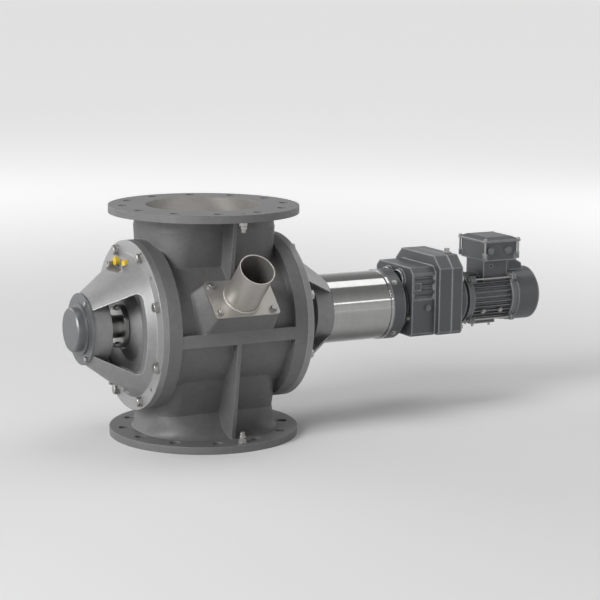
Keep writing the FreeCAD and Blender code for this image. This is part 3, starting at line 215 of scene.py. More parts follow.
class Shader(Graph):
    """A material's graph, with the textures that its finishes share."""

    def __init__(self, name: str) -> None:
        """Starts a material with its surface and no textures.

        Args:
            name: The material's name.
        """
        self.material = bpy.data.materials.new(name)
        self.material.use_nodes = True
        super().__init__(self.material.node_tree)
        self.surface = next(node for node in self.tree.nodes if node.type == "BSDF_PRINCIPLED")
        self.place = self.add("ShaderNodeTexCoord", output="Object")

    def axes(self) -> tuple[Wire, Wire, Wire]:
        """The three coordinates of a point on the surface.

        Returns:
            X, Y and Z in metres.
        """
        split = self.add("ShaderNodeSeparateXYZ", sockets={0: self.place})
        outputs = split.socket.node.outputs
        return Wire(self, outputs[0]), Wire(self, outputs[1]), Wire(self, outputs[2])

    def noise(
        self, scale: float, detail: float, stretch: Point | None = None, where: Wire | None = None
    ) -> Wire:
        """Noise between 0 and 1.

        Args:
            scale: Spots per metre.
            detail: Octaves.
            stretch: Scale along each axis, for streaks.
            where: Other coordinates than the object's own.

        Returns:
            The noise value.
        """
        vector = where or self.place
        if stretch:
            vector = self.add("ShaderNodeMapping", sockets={0: vector, "Scale": stretch})
        return self.add("ShaderNodeTexNoise", sockets={"Vector": vector, "Scale": scale, "Detail": detail})

    def shaft_radius(self) -> Wire:
        """Distance from the shaft's axis.

        Returns:
            The distance in metres.
        """
        _, y, z = self.axes()
        return y.across(z - SHAFT_HEIGHT)

    def lathe(self, scale: float) -> Wire:
        """Fine rings about the shaft's axis, on cylinders and on faces.

        Args:
            scale: Rings per metre.

        Returns:
            A value between 0 and 1.
        """
        x, _, _ = self.axes()
        flat = self.add("ShaderNodeCombineXYZ", sockets={0: x, 1: self.shaft_radius()})
        return self.noise(scale, 3.0, where=flat)

    def dot(self, first: Wire, second: Wire) -> Wire:
        """The dot product of two vectors."""
        ends = {0: first, 1: second}
        return self.add("ShaderNodeVectorMath", {"operation": "DOT_PRODUCT"}, ends, "Value")

    def edge(self, width: float, gain: float) -> Wire:
        """How near the surface is to a sharp edge.

        Args:
            width: Reach of the edge in metres.
            gain: How fast it rises to 1.

        Returns:
            A value between 0 and 1.
        """
        rounded = self.add("ShaderNodeBevel", {"samples": 4}, {"Radius": width})
        flat = self.add("ShaderNodeNewGeometry", output="Normal")
        return ((1.0 - self.dot(rounded, flat)) * gain).clamped()

    def mix(self, factor: Wire | float, first: Wire | Colour, second: Wire | Colour) -> Wire:
        """Blends two colours.

        Args:
            factor: 0 gives the first and 1 the second.
            first: A colour or a wire.
            second: A colour or a wire.

        Returns:
            The blended colour.
        """
        # Inputs 6 and 7 and output 2 of the node are its colours.
        colours = [one if isinstance(one, Wire) else (*one, 1.0) for one in (first, second)]
        sockets = {0: factor, 6: colours[0], 7: colours[1]}
        return self.add("ShaderNodeMix", {"data_type": "RGBA"}, sockets, 2)

    def bump(self, height: Wire, strength: float, depth: float, soft: float = 0.0) -> Wire:
        """Turns a height into a normal, over softly rounded edges.

        Args:
            height: The relief, from 0 to 1.
            strength: How much of it counts.
            depth: Its depth in metres.
            soft: Radius of the rounded edges in metres.

        Returns:
            The normal.
        """
        sockets = {"Height": height, "Strength": strength, "Distance": depth}
        if soft:
            sockets["Normal"] = self.add("ShaderNodeBevel", {"samples": 6}, {"Radius": soft})
        return self.add("ShaderNodeBump", sockets=sockets)

    def set(self, values: Mapping[str, object]) -> None:
        """Feeds the surface's sockets.

        Args:
            values: Numbers, colours or wires, by the socket's name.
        """
        for name, value in values.items():
            target = self.surface.inputs[name]
            if isinstance(value, Wire):
                self.tree.links.new(value.socket, target)
            else:
                target.default_value = (*value, 1.0) if isinstance(value, tuple) else value


@dataclass(frozen=True)
class Finish:
    """What every finish has: a name, a colour, a gloss and, on some, a clear coat."""

    name: str
    colour: Colour
    roughness: float
    metallic: float = 0.0
    coat: float = 0.0

    def make(self) -> bpy.types.Material:
        """Builds the material.

        Returns:
            The material.
        """
        shader = Shader(self.name)
        tone, rough, normal = self.lay(shader)
        shader.set({"Base Color": tone, "Roughness": rough, "Normal": normal})
        shader.set({"Metallic": self.metallic, "Coat Weight": self.coat})
        return shader.material

    def lay(self, shader: Shader) -> Look:
        """Works out colour, roughness and normal; each finish has its own."""
        raise NotImplementedError

    def shade(self, factor: float) -> Colour:
        """The finish's colour made lighter or darker."""
        return shaded(self.colour, factor)


@dataclass(frozen=True)
class Plane:
    """A machined plane: the axis that it is square to, its place and how near to it counts."""

    axis: int
    place: float
    reach: float = 0.0005


def both_ends(place: float, reach: float = Plane.reach) -> tuple[Plane, Plane]:
    """Two planes square to the shaft, one towards each end of the valve."""
    return Plane(X, place, reach), Plane(X, -place, reach)


@dataclass(frozen=True)
class Casting(Finish):
    """Blasted and sealed cast metal, with machined faces where planes are given.

    The fields from sand to rings are the spots per metre of its textures.
    """

    sand: float = 1500.0
    waves: float = 110.0
    flow: float = 34.0
    cloud: float = 11.0
    rubbed: float = 160.0
    rings: float = 2600.0
    grain: float = 0.00022
    softness: float = 0.0022
    machined: tuple[Plane, ...] = ()
    cut_light: float = 1.1
    cut_spread: float = 0.15
    # edge_reach and edge_light lighten the edges: partly rubbed wear, partly a painted highlight.
    edge_reach: float = 0.003
    edge_light: float = 1.65
    mottle: float = 0.42
    bore: float = 0.0
    bore_colour: Colour = (0.31, 0.297, 0.277)
    bore_shade: float = 0.82
    bore_lean: float = 0.02

    def lay(self, shader: Shader) -> Look:
        """Sand-cast grain, slow mottling, edges lighter for rubbed wear and a painted highlight, and
        machined faces.

        Args:
            shader: The graph.

        Returns:
            Colour, roughness and normal.
        """
        sand = shader.noise(self.sand, 2.0)
        waves = shader.noise(self.waves, 4.0)
        cloud = shader.noise(self.cloud, 4.0)
        edge_wear_and_highlight = shader.edge(self.edge_reach, 6.0) * (shader.noise(self.rubbed, 3.0) * 1.3 + 0.15).clamped()
        flow = shader.noise(self.flow, 4.0)
        shades = cloud * 0.35 + flow * 0.3 + waves * 0.35
        tone = shader.mix(shades, self.shade(1.0 - self.mottle), self.shade(1.0 + self.mottle))
        tone = shader.mix((sand * 1.8 - 0.7).clamped() * 0.35, tone, self.shade(0.72))
        # Lighter edges: patchy rubbed wear and a painted highlight along the rounded edges.
        tone = shader.mix(edge_wear_and_highlight * 0.7, tone, self.shade(self.edge_light))
        rough = self.roughness + cloud * 0.1 - edge_wear_and_highlight * 0.12
        relief = sand * 0.55 + waves * 0.45
        cut = self._cut(shader)
        if cut is not None:
            rings = shader.lathe(self.rings)
            dark, light = self.cut_light - self.cut_spread, self.cut_light + self.cut_spread
            turned = shader.mix(rings, self.shade(dark), self.shade(light))
            tone = shader.mix(cut * 0.7, tone, turned)
            rough = rough - cut * 0.14
            relief = relief * (1.0 - cut) + rings * cut * 0.4
        if self.bore:
            lining = shader.mix(waves, self.bore_colour, shaded(self.bore_colour, self.bore_shade))
            tone = shader.mix(self._throat(shader), tone, lining)
        return tone, rough, shader.bump(relief, 0.55, self.grain, self.softness)

    def _throat(self, shader: Shader) -> Wire:
        """One on the walls of the round throats, which face the valve's upright axis.

        Args:
            shader: The graph.

        Returns:
            The mask.
        """
        x, y, z = shader.axes()
        away = shader.add("ShaderNodeCombineXYZ", sockets={0: x, 1: y})
        facing = shader.add("ShaderNodeNewGeometry", output="True Normal")
        outward = shader.dot(away, facing)
        near = x.across(y) < self.bore
        return near * (outward < -self.bore_lean) * (abs(z - SHAFT_HEIGHT) > THROAT_RISE)

    def _cut(self, shader: Shader) -> Wire | None:
        """One on the machined planes.

        Args:
            shader: The graph.

        Returns:
            The mask, or None where no face is machined.
        """
        mask = None
        for plane in self.machined:
            here = abs(shader.axes()[plane.axis] - plane.place) < plane.reach
            mask = here if mask is None else mask.maths("MAXIMUM", here)
        return mask


@dataclass(frozen=True)
class Turned(Finish):
    """Metal off a lathe, with fine rings about the shaft."""

    rings: float = 3200.0
    depth: float = 0.00004
    streak: float = 0.25
    stain: float = 35.0
    edge_reach: float = 0.0009
    softness: float = 0.0007

    def lay(self, shader: Shader) -> Look:
        """Tool marks, faint stains and corners lighter for wear and a painted highlight.

        Args:
            shader: The graph.

        Returns:
            Colour, roughness and normal.
        """
        marks = shader.lathe(self.rings) * 0.65 + shader.lathe(self.rings / 12) * 0.35
        stain = shader.noise(self.stain, 4.0)
        edge_wear_and_highlight = shader.edge(self.edge_reach, 3.0)
        tone = shader.mix(marks, self.shade(1.0 - self.streak), self.shade(1.0 + self.streak))
        tone = shader.mix((stain * 1.6 - 0.5).clamped() * 0.3, tone, self.shade(0.62))
        # Lighter corners: wear and a painted highlight.
        tone = shader.mix(edge_wear_and_highlight * 0.5, tone, self.shade(1.35))
        rough = self.roughness + marks * 0.12 + stain * 0.08 - 0.1
        return tone, rough, shader.bump(marks, 0.5, self.depth, self.softness)


@dataclass(frozen=True)
class Brushed(Finish):
    """Sheet or tube with a straight brushed grain along one axis."""

    along: Point = (30.0, 30.0, 2.0)
    depth: float = 0.00003
    scratches: float = 60.0
    cloud: float = 24.0
    edge_reach: float = 0.0008
    softness: float = 0.0006

    def lay(self, shader: Shader) -> Look:
        """Long scratches, cloudy pickling marks and cut edges lighter for wear and a painted highlight.

        Args:
            shader: The graph.

        Returns:
            Colour, roughness and normal.
        """
        grain = shader.noise(self.scratches, 4.0, self.along)
        cloud = shader.noise(self.cloud, 3.0)
        edge_wear_and_highlight = shader.edge(self.edge_reach, 3.0)
        tone = shader.mix(grain, self.shade(0.82), self.shade(1.15))
        tone = shader.mix((cloud * 1.5 - 0.4).clamped() * 0.35, tone, self.shade(0.75))
        # Lighter cut edges: wear and a painted highlight.
        tone = shader.mix(edge_wear_and_highlight * 0.45, tone, self.shade(1.3))
        rough = self.roughness + grain * 0.14 + cloud * 0.08 - 0.1
        return tone, rough, shader.bump(grain, 0.5, self.depth, self.softness)


@dataclass(frozen=True)
class Fastener(Finish):
    """Bright pressed steel of bolts, nuts and washers."""

    spots: float = 420.0
    smear: float = 90.0
    edge_reach: float = 0.0006
    depth: float = 0.00006
    softness: float = 0.0007

    def lay(self, shader: Shader) -> Look:
        """Forging spots, random darker smears and edges lighter for wear and a painted highlight.

        Args:
            shader: The graph.

        Returns:
            Colour, roughness and normal.
        """
        spots = shader.noise(self.spots, 3.0)
        smear = shader.noise(self.smear, 3.0)
        edge_wear_and_highlight = shader.edge(self.edge_reach, 4.0)
        tone = shader.mix(smear, self.shade(0.72), self.shade(1.12))
        # Lighter edges: wear and a painted highlight.
        tone = shader.mix(edge_wear_and_highlight * 0.7, tone, self.shade(1.4))
        rough = self.roughness + spots * 0.16 - edge_wear_and_highlight * 0.08
        return tone, rough, shader.bump(spots, 0.35, self.depth, self.softness)


@dataclass(frozen=True)
class Paint(Finish):
    """Sprayed paint over castings, thin on the corners, which are also lightened as a painted highlight.
    """

    peel: float = 620.0
    cast: float = 140.0
    cloud: float = 18.0
    rubbed: float = 220.0
    relief: float = 0.00012
    # The colour of the bared metal on the corners, also lightened to serve as a painted highlight.
    under_and_highlight: Colour = (0.6, 0.605, 0.615)
    softness: float = 0.0035
    edge_reach: float = 0.006

    def lay(self, shader: Shader) -> Look:
        """Orange peel, lighter dusty spots at random, and corners lighter for wear and a painted
        highlight.

        Args:
            shader: The graph.

        Returns:
            Colour, roughness and normal.
        """
        peel = shader.noise(self.peel, 2.0)
        cast = shader.noise(self.cast, 3.0)
        cloud = shader.noise(self.cloud, 3.0)
        edge_wear_and_highlight = shader.edge(self.edge_reach, 5.0) * (shader.noise(self.rubbed, 3.0) * 1.2 + 0.35).clamped()
        tone = shader.mix(cloud, self.shade(0.85), self.shade(1.15))
        tone = shader.mix((cast * 1.5 - 0.45).clamped() * 0.25, tone, self.shade(1.3))
        # Lighter corners: rubbed-through paint and a painted highlight.
        tone = shader.mix(edge_wear_and_highlight * 0.75, tone, self.under_and_highlight)
        rough = self.roughness + peel * 0.08 + cloud * 0.08 - 0.06
        return tone, rough, shader.bump(peel * 0.6 + cast * 0.4, 0.45, self.relief, self.softness)


@dataclass(frozen=True)
class Moulded(Finish):
    """Moulded plastic or rubber with a fine spark-eroded texture."""

    texture: float = 900.0
    bloom: float = 40.0
    depth: float = 0.00006
    softness: float = 0.0006

    def lay(self, shader: Shader) -> Look:
        """Fine texture, a slight bloom and rounded corners.

        Args:
            shader: The graph.

        Returns:
            Colour, roughness and normal.
        """
        fine = shader.noise(self.texture, 2.0)
        bloom = shader.noise(self.bloom, 3.0)
        tone = shader.mix(bloom, self.shade(0.85), self.shade(1.15))
        rough = self.roughness + fine * 0.1 + bloom * 0.06 - 0.06
        return tone, rough, shader.bump(fine, 0.3, self.depth, self.softness)


@dataclass(frozen=True)
class Woven(Finish):
    """Braided cord or varnished windings: strands laid round the shaft."""

    strands: float = 900.0
    sweep: float = 34.0
    cloud: float = 60.0
    depth: float = 0.0003

    def lay(self, shader: Shader) -> Look:
        """Strands, painted shade in the gaps between them and a random change of tone.

        Args:
            shader: The graph.

        Returns:
            Colour, roughness and normal.
        """
        x, y, z = shader.axes()
        sweep = y.maths("ARCTAN2", z - SHAFT_HEIGHT) * self.sweep
        strand = ((x * self.strands + sweep).maths("SINE") * 0.5 + 0.5) ** 0.7
        cloud = shader.noise(self.cloud, 3.0)
        # The gaps between strands are darkened: a painted shade.
        tone = shader.mix(strand, self.shade(0.5), shader.mix(cloud, self.shade(0.9), self.shade(1.15)))
        rough = self.roughness + cloud * 0.1
        return tone, rough, shader.bump(strand, 0.7, self.depth)


class Kind(Enum):
    """The finishes of this valve, each with the name of its material."""

    # cut_light below 1 darkens the machined faces, the flange top among them: partly their own tone,
    # partly a painted shade that keeps the top dim under the lamps above.
    BODY = Casting(
        "body_casting", (0.176, 0.176, 0.177), 0.5, 0.25, cut_light=0.78, bore=0.1275,
        machined=(*(Plane(Z, face) for face in edges("housing", Z)), *both_ends(HOUSING_END)),
    )
    # cut_light above 1 lightens the machined faces and the flange rim: partly their polish, partly a
    # painted highlight.
    COVER = Casting(
        "cover_casting", (0.3, 0.3, 0.302), 0.44, 0.45, grain=0.0002, softness=0.0024, cut_light=1.3,
        edge_reach=0.004, edge_light=1.9, mottle=0.4,
        machined=(*both_ends(edges("drive_cover", X)[1], 0.0006), *both_ends(COVER_RIM)),
    )
    BOLT = Fastener("bright_bolts", (0.45, 0.445, 0.435), 0.28, 1.0)
    PLUG = Fastener("dark_plugs", (0.2, 0.202, 0.206), 0.4, 0.7)
    SHAFT = Turned("turned_steel", (0.5, 0.5, 0.49), 0.3, 1.0)
    BEARING = Turned("ground_steel", (0.55, 0.55, 0.56), 0.22, 1.0, streak=0.1)
    CAP = Turned("zinc_cap", (0.2, 0.203, 0.208), 0.42, 0.7, rings=1400.0, streak=0.12)
    SLEEVE = Turned(
        "polished_sleeve", (0.43, 0.43, 0.425), 0.1, 1.0, rings=2400.0, depth=0.00001, streak=0.16
    )
    VENT = Brushed("vent_stainless", (0.5, 0.48, 0.45), 0.38, 0.8)
    BRONZE = Turned("turned_bronze", (0.55, 0.4, 0.2), 0.34, 1.0)
    SHIELD = Paint("shield_paint", (0.16, 0.163, 0.168), 0.4, 0.3)
    DRIVE = Paint("drive_paint", (0.1, 0.103, 0.109), 0.36, 0.3)
    ALLOY = Casting("rotor_alloy", (0.5, 0.5, 0.51), 0.45, 0.9, softness=0.0008)
    WINDING = Woven("varnished_winding", (0.4, 0.17, 0.06), 0.35, 0.2, coat=0.5)
    PACKING = Woven("packing_braid", (0.52, 0.49, 0.4), 0.85, strands=2600.0)
    RUBBER = Moulded("seal_rubber", (0.022, 0.022, 0.024), 0.6)
    YELLOW = Moulded("plug_plastic", (0.72, 0.5, 0.03), 0.35)
    BLACK = Moulded("black_plastic", (0.03, 0.031, 0.034), 0.5)
    GREY = Moulded("grey_plastic", (0.17, 0.172, 0.175), 0.42)


Dressing = Mapping[Kind, Sequence[str]]


class Finishes:
    """Makes each material once and lays it on nodes and pieces."""

    def __init__(self) -> None:
        """Starts with no material made."""
        self.made: dict[Kind, bpy.types.Material] = {}

    def get(self, kind: Kind) -> bpy.types.Material:
        """The material of a finish, built when first asked for.

        Args:
            kind: The finish.

        Returns:
            The material.
        """
        if kind not in self.made:
            self.made[kind] = kind.value.make()
        return self.made[kind]

    def dress(self, node: str, kind: Kind) -> None:
        """Lays a finish on a CAD node.

        Args:
            node: The node's name.
            kind: The finish.
        """
        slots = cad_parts[node].material_slots
        if not slots:
            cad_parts[node].data.materials.append(self.get(kind))
        for slot in slots:
            slot.material = self.get(kind)


@dataclass(frozen=True)
class Spot:
    """Where one small fitting stands and which way it faces."""

    point: Point
    aim: Point


class Form(Graph):
    """A mesh recipe's graph, with the shapes that the recipes share."""

    def vector(self, x: Wire | float = 0.0, y: Wire | float = 0.0, z: Wire | float = 0.0) -> Wire:
        """Three numbers as one vector."""
        return self.add("ShaderNodeCombineXYZ", {}, {0: x, 1: y, 2: z})

    def circle(self, corners: int, radius: Wire) -> Wire:
        """A circle, or a polygon of few corners, as a curve."""
        sizes = {"Resolution": corners, "Radius": radius}
        return self.add("GeometryNodeCurvePrimitiveCircle", {}, sizes)

    def join(self, *parts: Wire) -> Wire:
        """Several shapes as one."""
        return self.add("GeometryNodeJoinGeometry", {}, {0: list(parts)})

    def disc(self, corners: int, foot: Wire, head: Wire, depth: Wire, rise: Wire) -> Wire:
        """A closed cone or prism that starts at a height.

        Args:
            corners: Corners of its outline.
            foot: Radius at the bottom.
            head: Radius at the top.
            depth: Its height.
            rise: Where it starts.

        Returns:
            The mesh.
        """
        sizes = {"Vertices": corners, "Radius Top": head, "Radius Bottom": foot, "Depth": depth}
        cone = self.add("GeometryNodeMeshCone", {"fill_type": "NGON"}, sizes)
        lift = self.vector(z=rise)
        return self.add("GeometryNodeTransform", {}, {"Geometry": cone, "Translation": lift})

    def sweep(self, path: Wire, section: Wire) -> Wire:
        """A section led along a path, with its ends closed."""
        sockets = {"Curve": path, "Profile Curve": section, "Fill Caps": True}
        return self.add("GeometryNodeCurveToMesh", {}, sockets)


class Recipe:
    """A Geometry Nodes tree that sets one small shape on a list of spots."""

    sizes: Mapping[str, float] = {}

    def __init__(self, **sizes: float) -> None:
        """Takes this use's sizes over the recipe's own."""
        self.values = {**self.sizes, **sizes}

    def shape(self, form: Form, inputs: Inputs) -> Wire:
        """The shape of one fitting, along +Z from the origin."""
        raise NotImplementedError

    def build(self, material: bpy.types.Material) -> tuple[bpy.types.NodeTree, dict[str, str]]:
        """Builds the tree.

        Args:
            material: The finish of the result.

        Returns:
            The tree, and the identifier of each named input.
        """
        tree = bpy.data.node_groups.new(type(self).__name__, "GeometryNodeTree")
        tree.interface.new_socket("Geometry", in_out="INPUT", socket_type="NodeSocketGeometry")
        names = {}
        for name, value in self.values.items():
            socket = tree.interface.new_socket(name, in_out="INPUT", socket_type="NodeSocketFloat")
            socket.default_value = value
            names[name] = socket.identifier
        tree.interface.new_socket("Geometry", in_out="OUTPUT", socket_type="NodeSocketGeometry")
        form = Form(tree)
        start = tree.nodes.new("NodeGroupInput")
        points = Wire(form, start.outputs[0])
        inputs = {name: Wire(form, start.outputs[n + 1]) for n, name in enumerate(self.values)}
        aim = form.add("GeometryNodeInputNamedAttribute", {"data_type": "FLOAT_VECTOR"}, {"Name": "aim"})
        turn = form.add("FunctionNodeAlignRotationToVector", {"axis": "Z"}, {"Vector": aim})
        sockets = {"Points": points, "Instance": self.shape(form, inputs), "Rotation": turn}
        spread = form.add("GeometryNodeInstanceOnPoints", {}, sockets)
        real = form.add("GeometryNodeRealizeInstances", {}, {0: spread})
        dressed = form.add("GeometryNodeSetMaterial", {}, {"Geometry": real, "Material": material})
        form.add("NodeGroupOutput", {}, {0: dressed})
        return tree, names

    def set_out(self, name: str, spots: Sequence[Spot], material: bpy.types.Material, body: str) -> None:
        """Bakes the fittings into one plain mesh that rides on a body.

        Args:
            name: The piece's name.
            spots: Where the fittings stand.
            material: Their finish.
            body: The body that carries them.
        """
        points = bpy.data.meshes.new(name)
        points.from_pydata([spot.point for spot in spots], [], [])
        aims = points.attributes.new("aim", "FLOAT_VECTOR", "POINT")
        aims.data.foreach_set("vector", [part for spot in spots for part in spot.aim])
        source = bpy.data.objects.new(name + "_spots", points)
        bpy.context.scene.collection.objects.link(source)
        tree, names = self.build(material)
        modifier = source.modifiers.new("recipe", "NODES")
        modifier.node_group = tree
        for key, value in self.values.items():
            modifier[names[key]] = value
        mesh = baked(source)
        bpy.data.objects.remove(source)
        bpy.data.node_groups.remove(tree)
        settle(name, mesh, body)


def baked(source: bpy.types.Object) -> bpy.types.Mesh:
    """The evaluated mesh of an object, modifiers applied.

    Args:
        source: The object.

    Returns:
        A plain mesh.
    """
    graph = bpy.context.evaluated_depsgraph_get()
    graph.update()
    solid = source.evaluated_get(graph)
    mesh = bpy.data.meshes.new_from_object(solid, preserve_all_data_layers=True, depsgraph=graph)
    source.modifiers.clear()
    return mesh


def settle(name: str, mesh: bpy.types.Mesh, body: str) -> None:
    """Makes a finished piece of a mesh and sets it on a body.

    Args:
        name: The piece's name.
        mesh: Its mesh, in place.
        body: The body that carries it.
    """
    mesh.shade_smooth()
    mesh.set_sharp_from_angle(angle=SHARP_EDGE)
    piece = bpy.data.objects.new(name, mesh)
    bpy.context.scene.collection.objects.link(piece)
    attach(piece, body)
    log.info("%s: %d faces on %s", name, len(mesh.polygons), body)


class Crown(Recipe):
    """The raised, chamfered top of a hexagon head."""

    sizes = {"Radius": 0.0086, "Height": 0.0007, "Chamfer": 0.0012}

    def shape(self, form: Form, inputs: Inputs) -> Wire:
        """A low truncated cone, sunk a little into the head.

        Args:
            form: The tree.
            inputs: The recipe's sizes.

        Returns:
            The mesh.
        """
        radius, height = inputs["Radius"], inputs["Height"]
        return form.disc(CROWN, radius, radius - inputs["Chamfer"], height * 2.0, height * -1.0)


class SmallCrown(Crown):
    """The crown of the smaller heads on the vent and the gear case."""

    sizes = {"Radius": 0.0062, "Height": 0.0005, "Chamfer": 0.0009}


class HexScrew(Recipe):
    """A hexagon head on its washer, with a chamfered top."""

    sizes = {"Corner": 0.0066, "Height": 0.005, "Washer": 0.0082, "Plate": 0.0012}

    def shape(self, form: Form, inputs: Inputs) -> Wire:
        """Washer, hexagon and crown, one on another.

        Args:
            form: The tree.
            inputs: The recipe's sizes.

        Returns:
            The mesh.
        """
        plate, corner, height = inputs["Plate"], inputs["Corner"], inputs["Height"]
        seat = form.disc(ROUND, inputs["Washer"], inputs["Washer"], plate * 1.5, plate * -0.5)
        head = form.disc(HEXAGON, corner, corner, height, plate * 0.5)
        top = plate * 0.5 + height * 0.98
        crown = form.disc(ROUND, corner * 0.86, corner * 0.72, height * 0.16, top)
        return form.join(seat, head, crown)


class SocketHead(Recipe):
    """A round head with a hexagon socket."""

    sizes = {"Radius": 0.004, "Socket": 0.0022, "Height": 0.003}

    def shape(self, form: Form, inputs: Inputs) -> Wire:
        """A ring with a hexagon hole, pulled up into a head, over a closed floor.

        Args:
            form: The tree.
            inputs: The recipe's sizes.

        Returns:
            The mesh.
        """
        radius, height = inputs["Radius"], inputs["Height"]
        both = form.join(form.circle(ROUND, radius), form.circle(HEXAGON, inputs["Socket"]))
        face = form.add("GeometryNodeFillCurve", {"mode": "NGONS"}, {0: both})
        sockets = {"Mesh": face, "Offset": form.vector(z=height), "Individual": False}
        head = form.add("GeometryNodeExtrudeMesh", {}, sockets)
        sizes = {"Vertices": ROUND, "Radius": radius * 0.98, "Depth": height * 0.5}
        floor = form.add("GeometryNodeMeshCylinder", {"fill_type": "NGON"}, sizes)
        return form.join(head, floor)


class Rim(Recipe):
    """A rounded ring round the mouth of a bore."""

    sizes = {"Radius": 0.022, "Bead": 0.0015}

    def shape(self, form: Form, inputs: Inputs) -> Wire:
        """A small round section led along a circle."""
        return form.sweep(form.circle(FINE, inputs["Radius"]), form.circle(COARSE, inputs["Bead"]))


class Block(Recipe):
    """A plain raised block."""

    sizes = {"Length": 0.0215, "Width": 0.019, "Height": 0.006}

    def shape(self, form: Form, inputs: Inputs) -> Wire:
        """A box about its middle."""
        size = form.vector(inputs["Length"], inputs["Width"], inputs["Height"])
        return form.add("GeometryNodeMeshCube", {}, {"Size": size})


class Thread(Recipe):
    """A screw thread standing proud of a plain shank."""

    sizes = {"Radius": 0.004, "Pitch": 0.0012, "Length": 0.006, "Depth": 0.0004}

    def shape(self, form: Form, inputs: Inputs) -> Wire:
        """A helix with a small square section, one corner of it outwards.

        Args:
            form: The tree.
            inputs: The recipe's sizes.

        Returns:
            The mesh.
        """
        sizes = {
            "Resolution": 20,
            "Rotations": inputs["Length"] / inputs["Pitch"],
            "Start Radius": inputs["Radius"],
            "End Radius": inputs["Radius"],
            "Height": inputs["Length"],
        }
        helix = form.add("GeometryNodeCurveSpiral", {}, sizes)
        return form.sweep(helix, form.circle(SQUARE, inputs["Depth"]))


class WeldBead(Recipe):
    """A hand-laid weld bead: overlapping ripples round a tube."""

    sizes = {"Radius": 0.0392, "Bead": 0.003, "Ripples": 84.0}

    def shape(self, form: Form, inputs: Inputs) -> Wire:
        """Drops along a circle, each of a slightly different size.

        Args:
            form: The tree.
            inputs: The recipe's sizes.

        Returns:
            The mesh.
        """
        path = form.circle(FINEST, inputs["Radius"])
        drops = form.add(
            "GeometryNodeCurveToPoints", {"mode": "COUNT"}, {"Curve": path, "Count": inputs["Ripples"]}
        )
        turn = Wire(form, drops.socket.node.outputs["Rotation"])
        sizes = {"Segments": 12, "Rings": 8, "Radius": inputs["Bead"]}
        drop = form.add("GeometryNodeMeshUVSphere", {}, sizes)
        size = form.add("FunctionNodeRandomValue", {"data_type": "FLOAT"}, {2: 0.88, 3: 1.1, "Seed": 7}, 1)
        sockets = {"Points": drops, "Instance": drop, "Rotation": turn, "Scale": size}
        ripple = form.add("GeometryNodeInstanceOnPoints", {}, sockets)
        return form.add("GeometryNodeRealizeInstances", {}, {0: ripple})


def radial_spots(x: float, radius: float, angles: Sequence[float]) -> list[Spot]:
    """Spots on a cylinder about the shaft, which face away from it.

    Args:
        x: Place along the shaft.
        radius: The cylinder's radius.
        angles: Where they stand, in degrees from +Y.

    Returns:
        The spots.
    """
    aims = [(math.cos(math.radians(angle)), math.sin(math.radians(angle))) for angle in angles]
    return [Spot((x, radius * y, SHAFT_HEIGHT + radius * z), (0.0, y, z)) for y, z in aims]


def ring_spots(x: float, radius: float, count: int, start: float, way: float) -> list[Spot]:
    """Spots on a circle about the shaft.

    Args:
        x: Place along the shaft.
        radius: The circle's radius.
        count: How many.
        start: The first one's angle in degrees, from +Y.
        way: +1 or -1, the side that they face.

    Returns:
        The spots.
    """
    angles = [start + 360.0 * n / count for n in range(count)]
    return [Spot(spot.point, (way, 0.0, 0.0)) for spot in radial_spots(x, radius, angles)]


def mirrored(aim: Point, *places: Point) -> list[Spot]:
    """Spots with their mirror images on the other side of the shaft.

    Args:
        aim: The way that they face.
        places: Their places, on the +Y side.

    Returns:
        Each spot, followed by its image.
    """
    return [
        Spot((x, side * y, z), (aim[X], side * aim[Y], aim[Z]))
        for x, y, z in places
        for side in SIDES
    ]


@dataclass
class SubAssembly:
    """A group of the valve's pieces that are dressed together."""

    finishes: Finishes
    body: str = "frame"
    nodes: ClassVar[Dressing] = {}

    def dress(self) -> None:
        """Lays the finishes on this group's nodes."""
        for kind, nodes in self.nodes.items():
            for node in nodes:
                self.finishes.dress(node, kind)
                log.info("%s: %s", node, kind.value.name)

    def fit(self, name: str, recipe: Recipe, spots: Sequence[Spot], kind: Kind = Kind.BOLT) -> None:
        """Sets out small fittings that ride on this group's body.

        Args:
            name: The piece's name.
            recipe: The shape of one of them.
            spots: Where they stand.
            kind: Their finish.
        """
        recipe.set_out(name, spots, self.finishes.get(kind), self.body)

    def build(self) -> None:
        """Adds the group's small fittings; a plain group has none."""

    def make(self) -> None:
        """Dresses the nodes and adds the fittings."""
        self.dress()
        self.build()


@dataclass
class ValveBody(SubAssembly):
    """The housing with its earthing bolts."""

    nodes: ClassVar[Dressing] = {
        Kind.BODY: ("housing",),
        Kind.BOLT: ("earth_bolts",),
    }
    stud_x: float = middle("earth_bolts", X)
    stud_y: float = middle("earth_bolts", Y)
    stud_radius: float = 0.005
    thread_feet: tuple[float, float] = (0.461, 0.0315)

    def build(self) -> None:
        """Threads on the free ends of the earthing bolts."""
        spots = [Spot((self.stud_x, self.stud_y, foot), UP) for foot in self.thread_feet]
        thread = Thread(Radius=self.stud_radius, Pitch=0.0015, Length=0.0075, Depth=0.0005)
        self.fit("earth_threads", thread, spots)


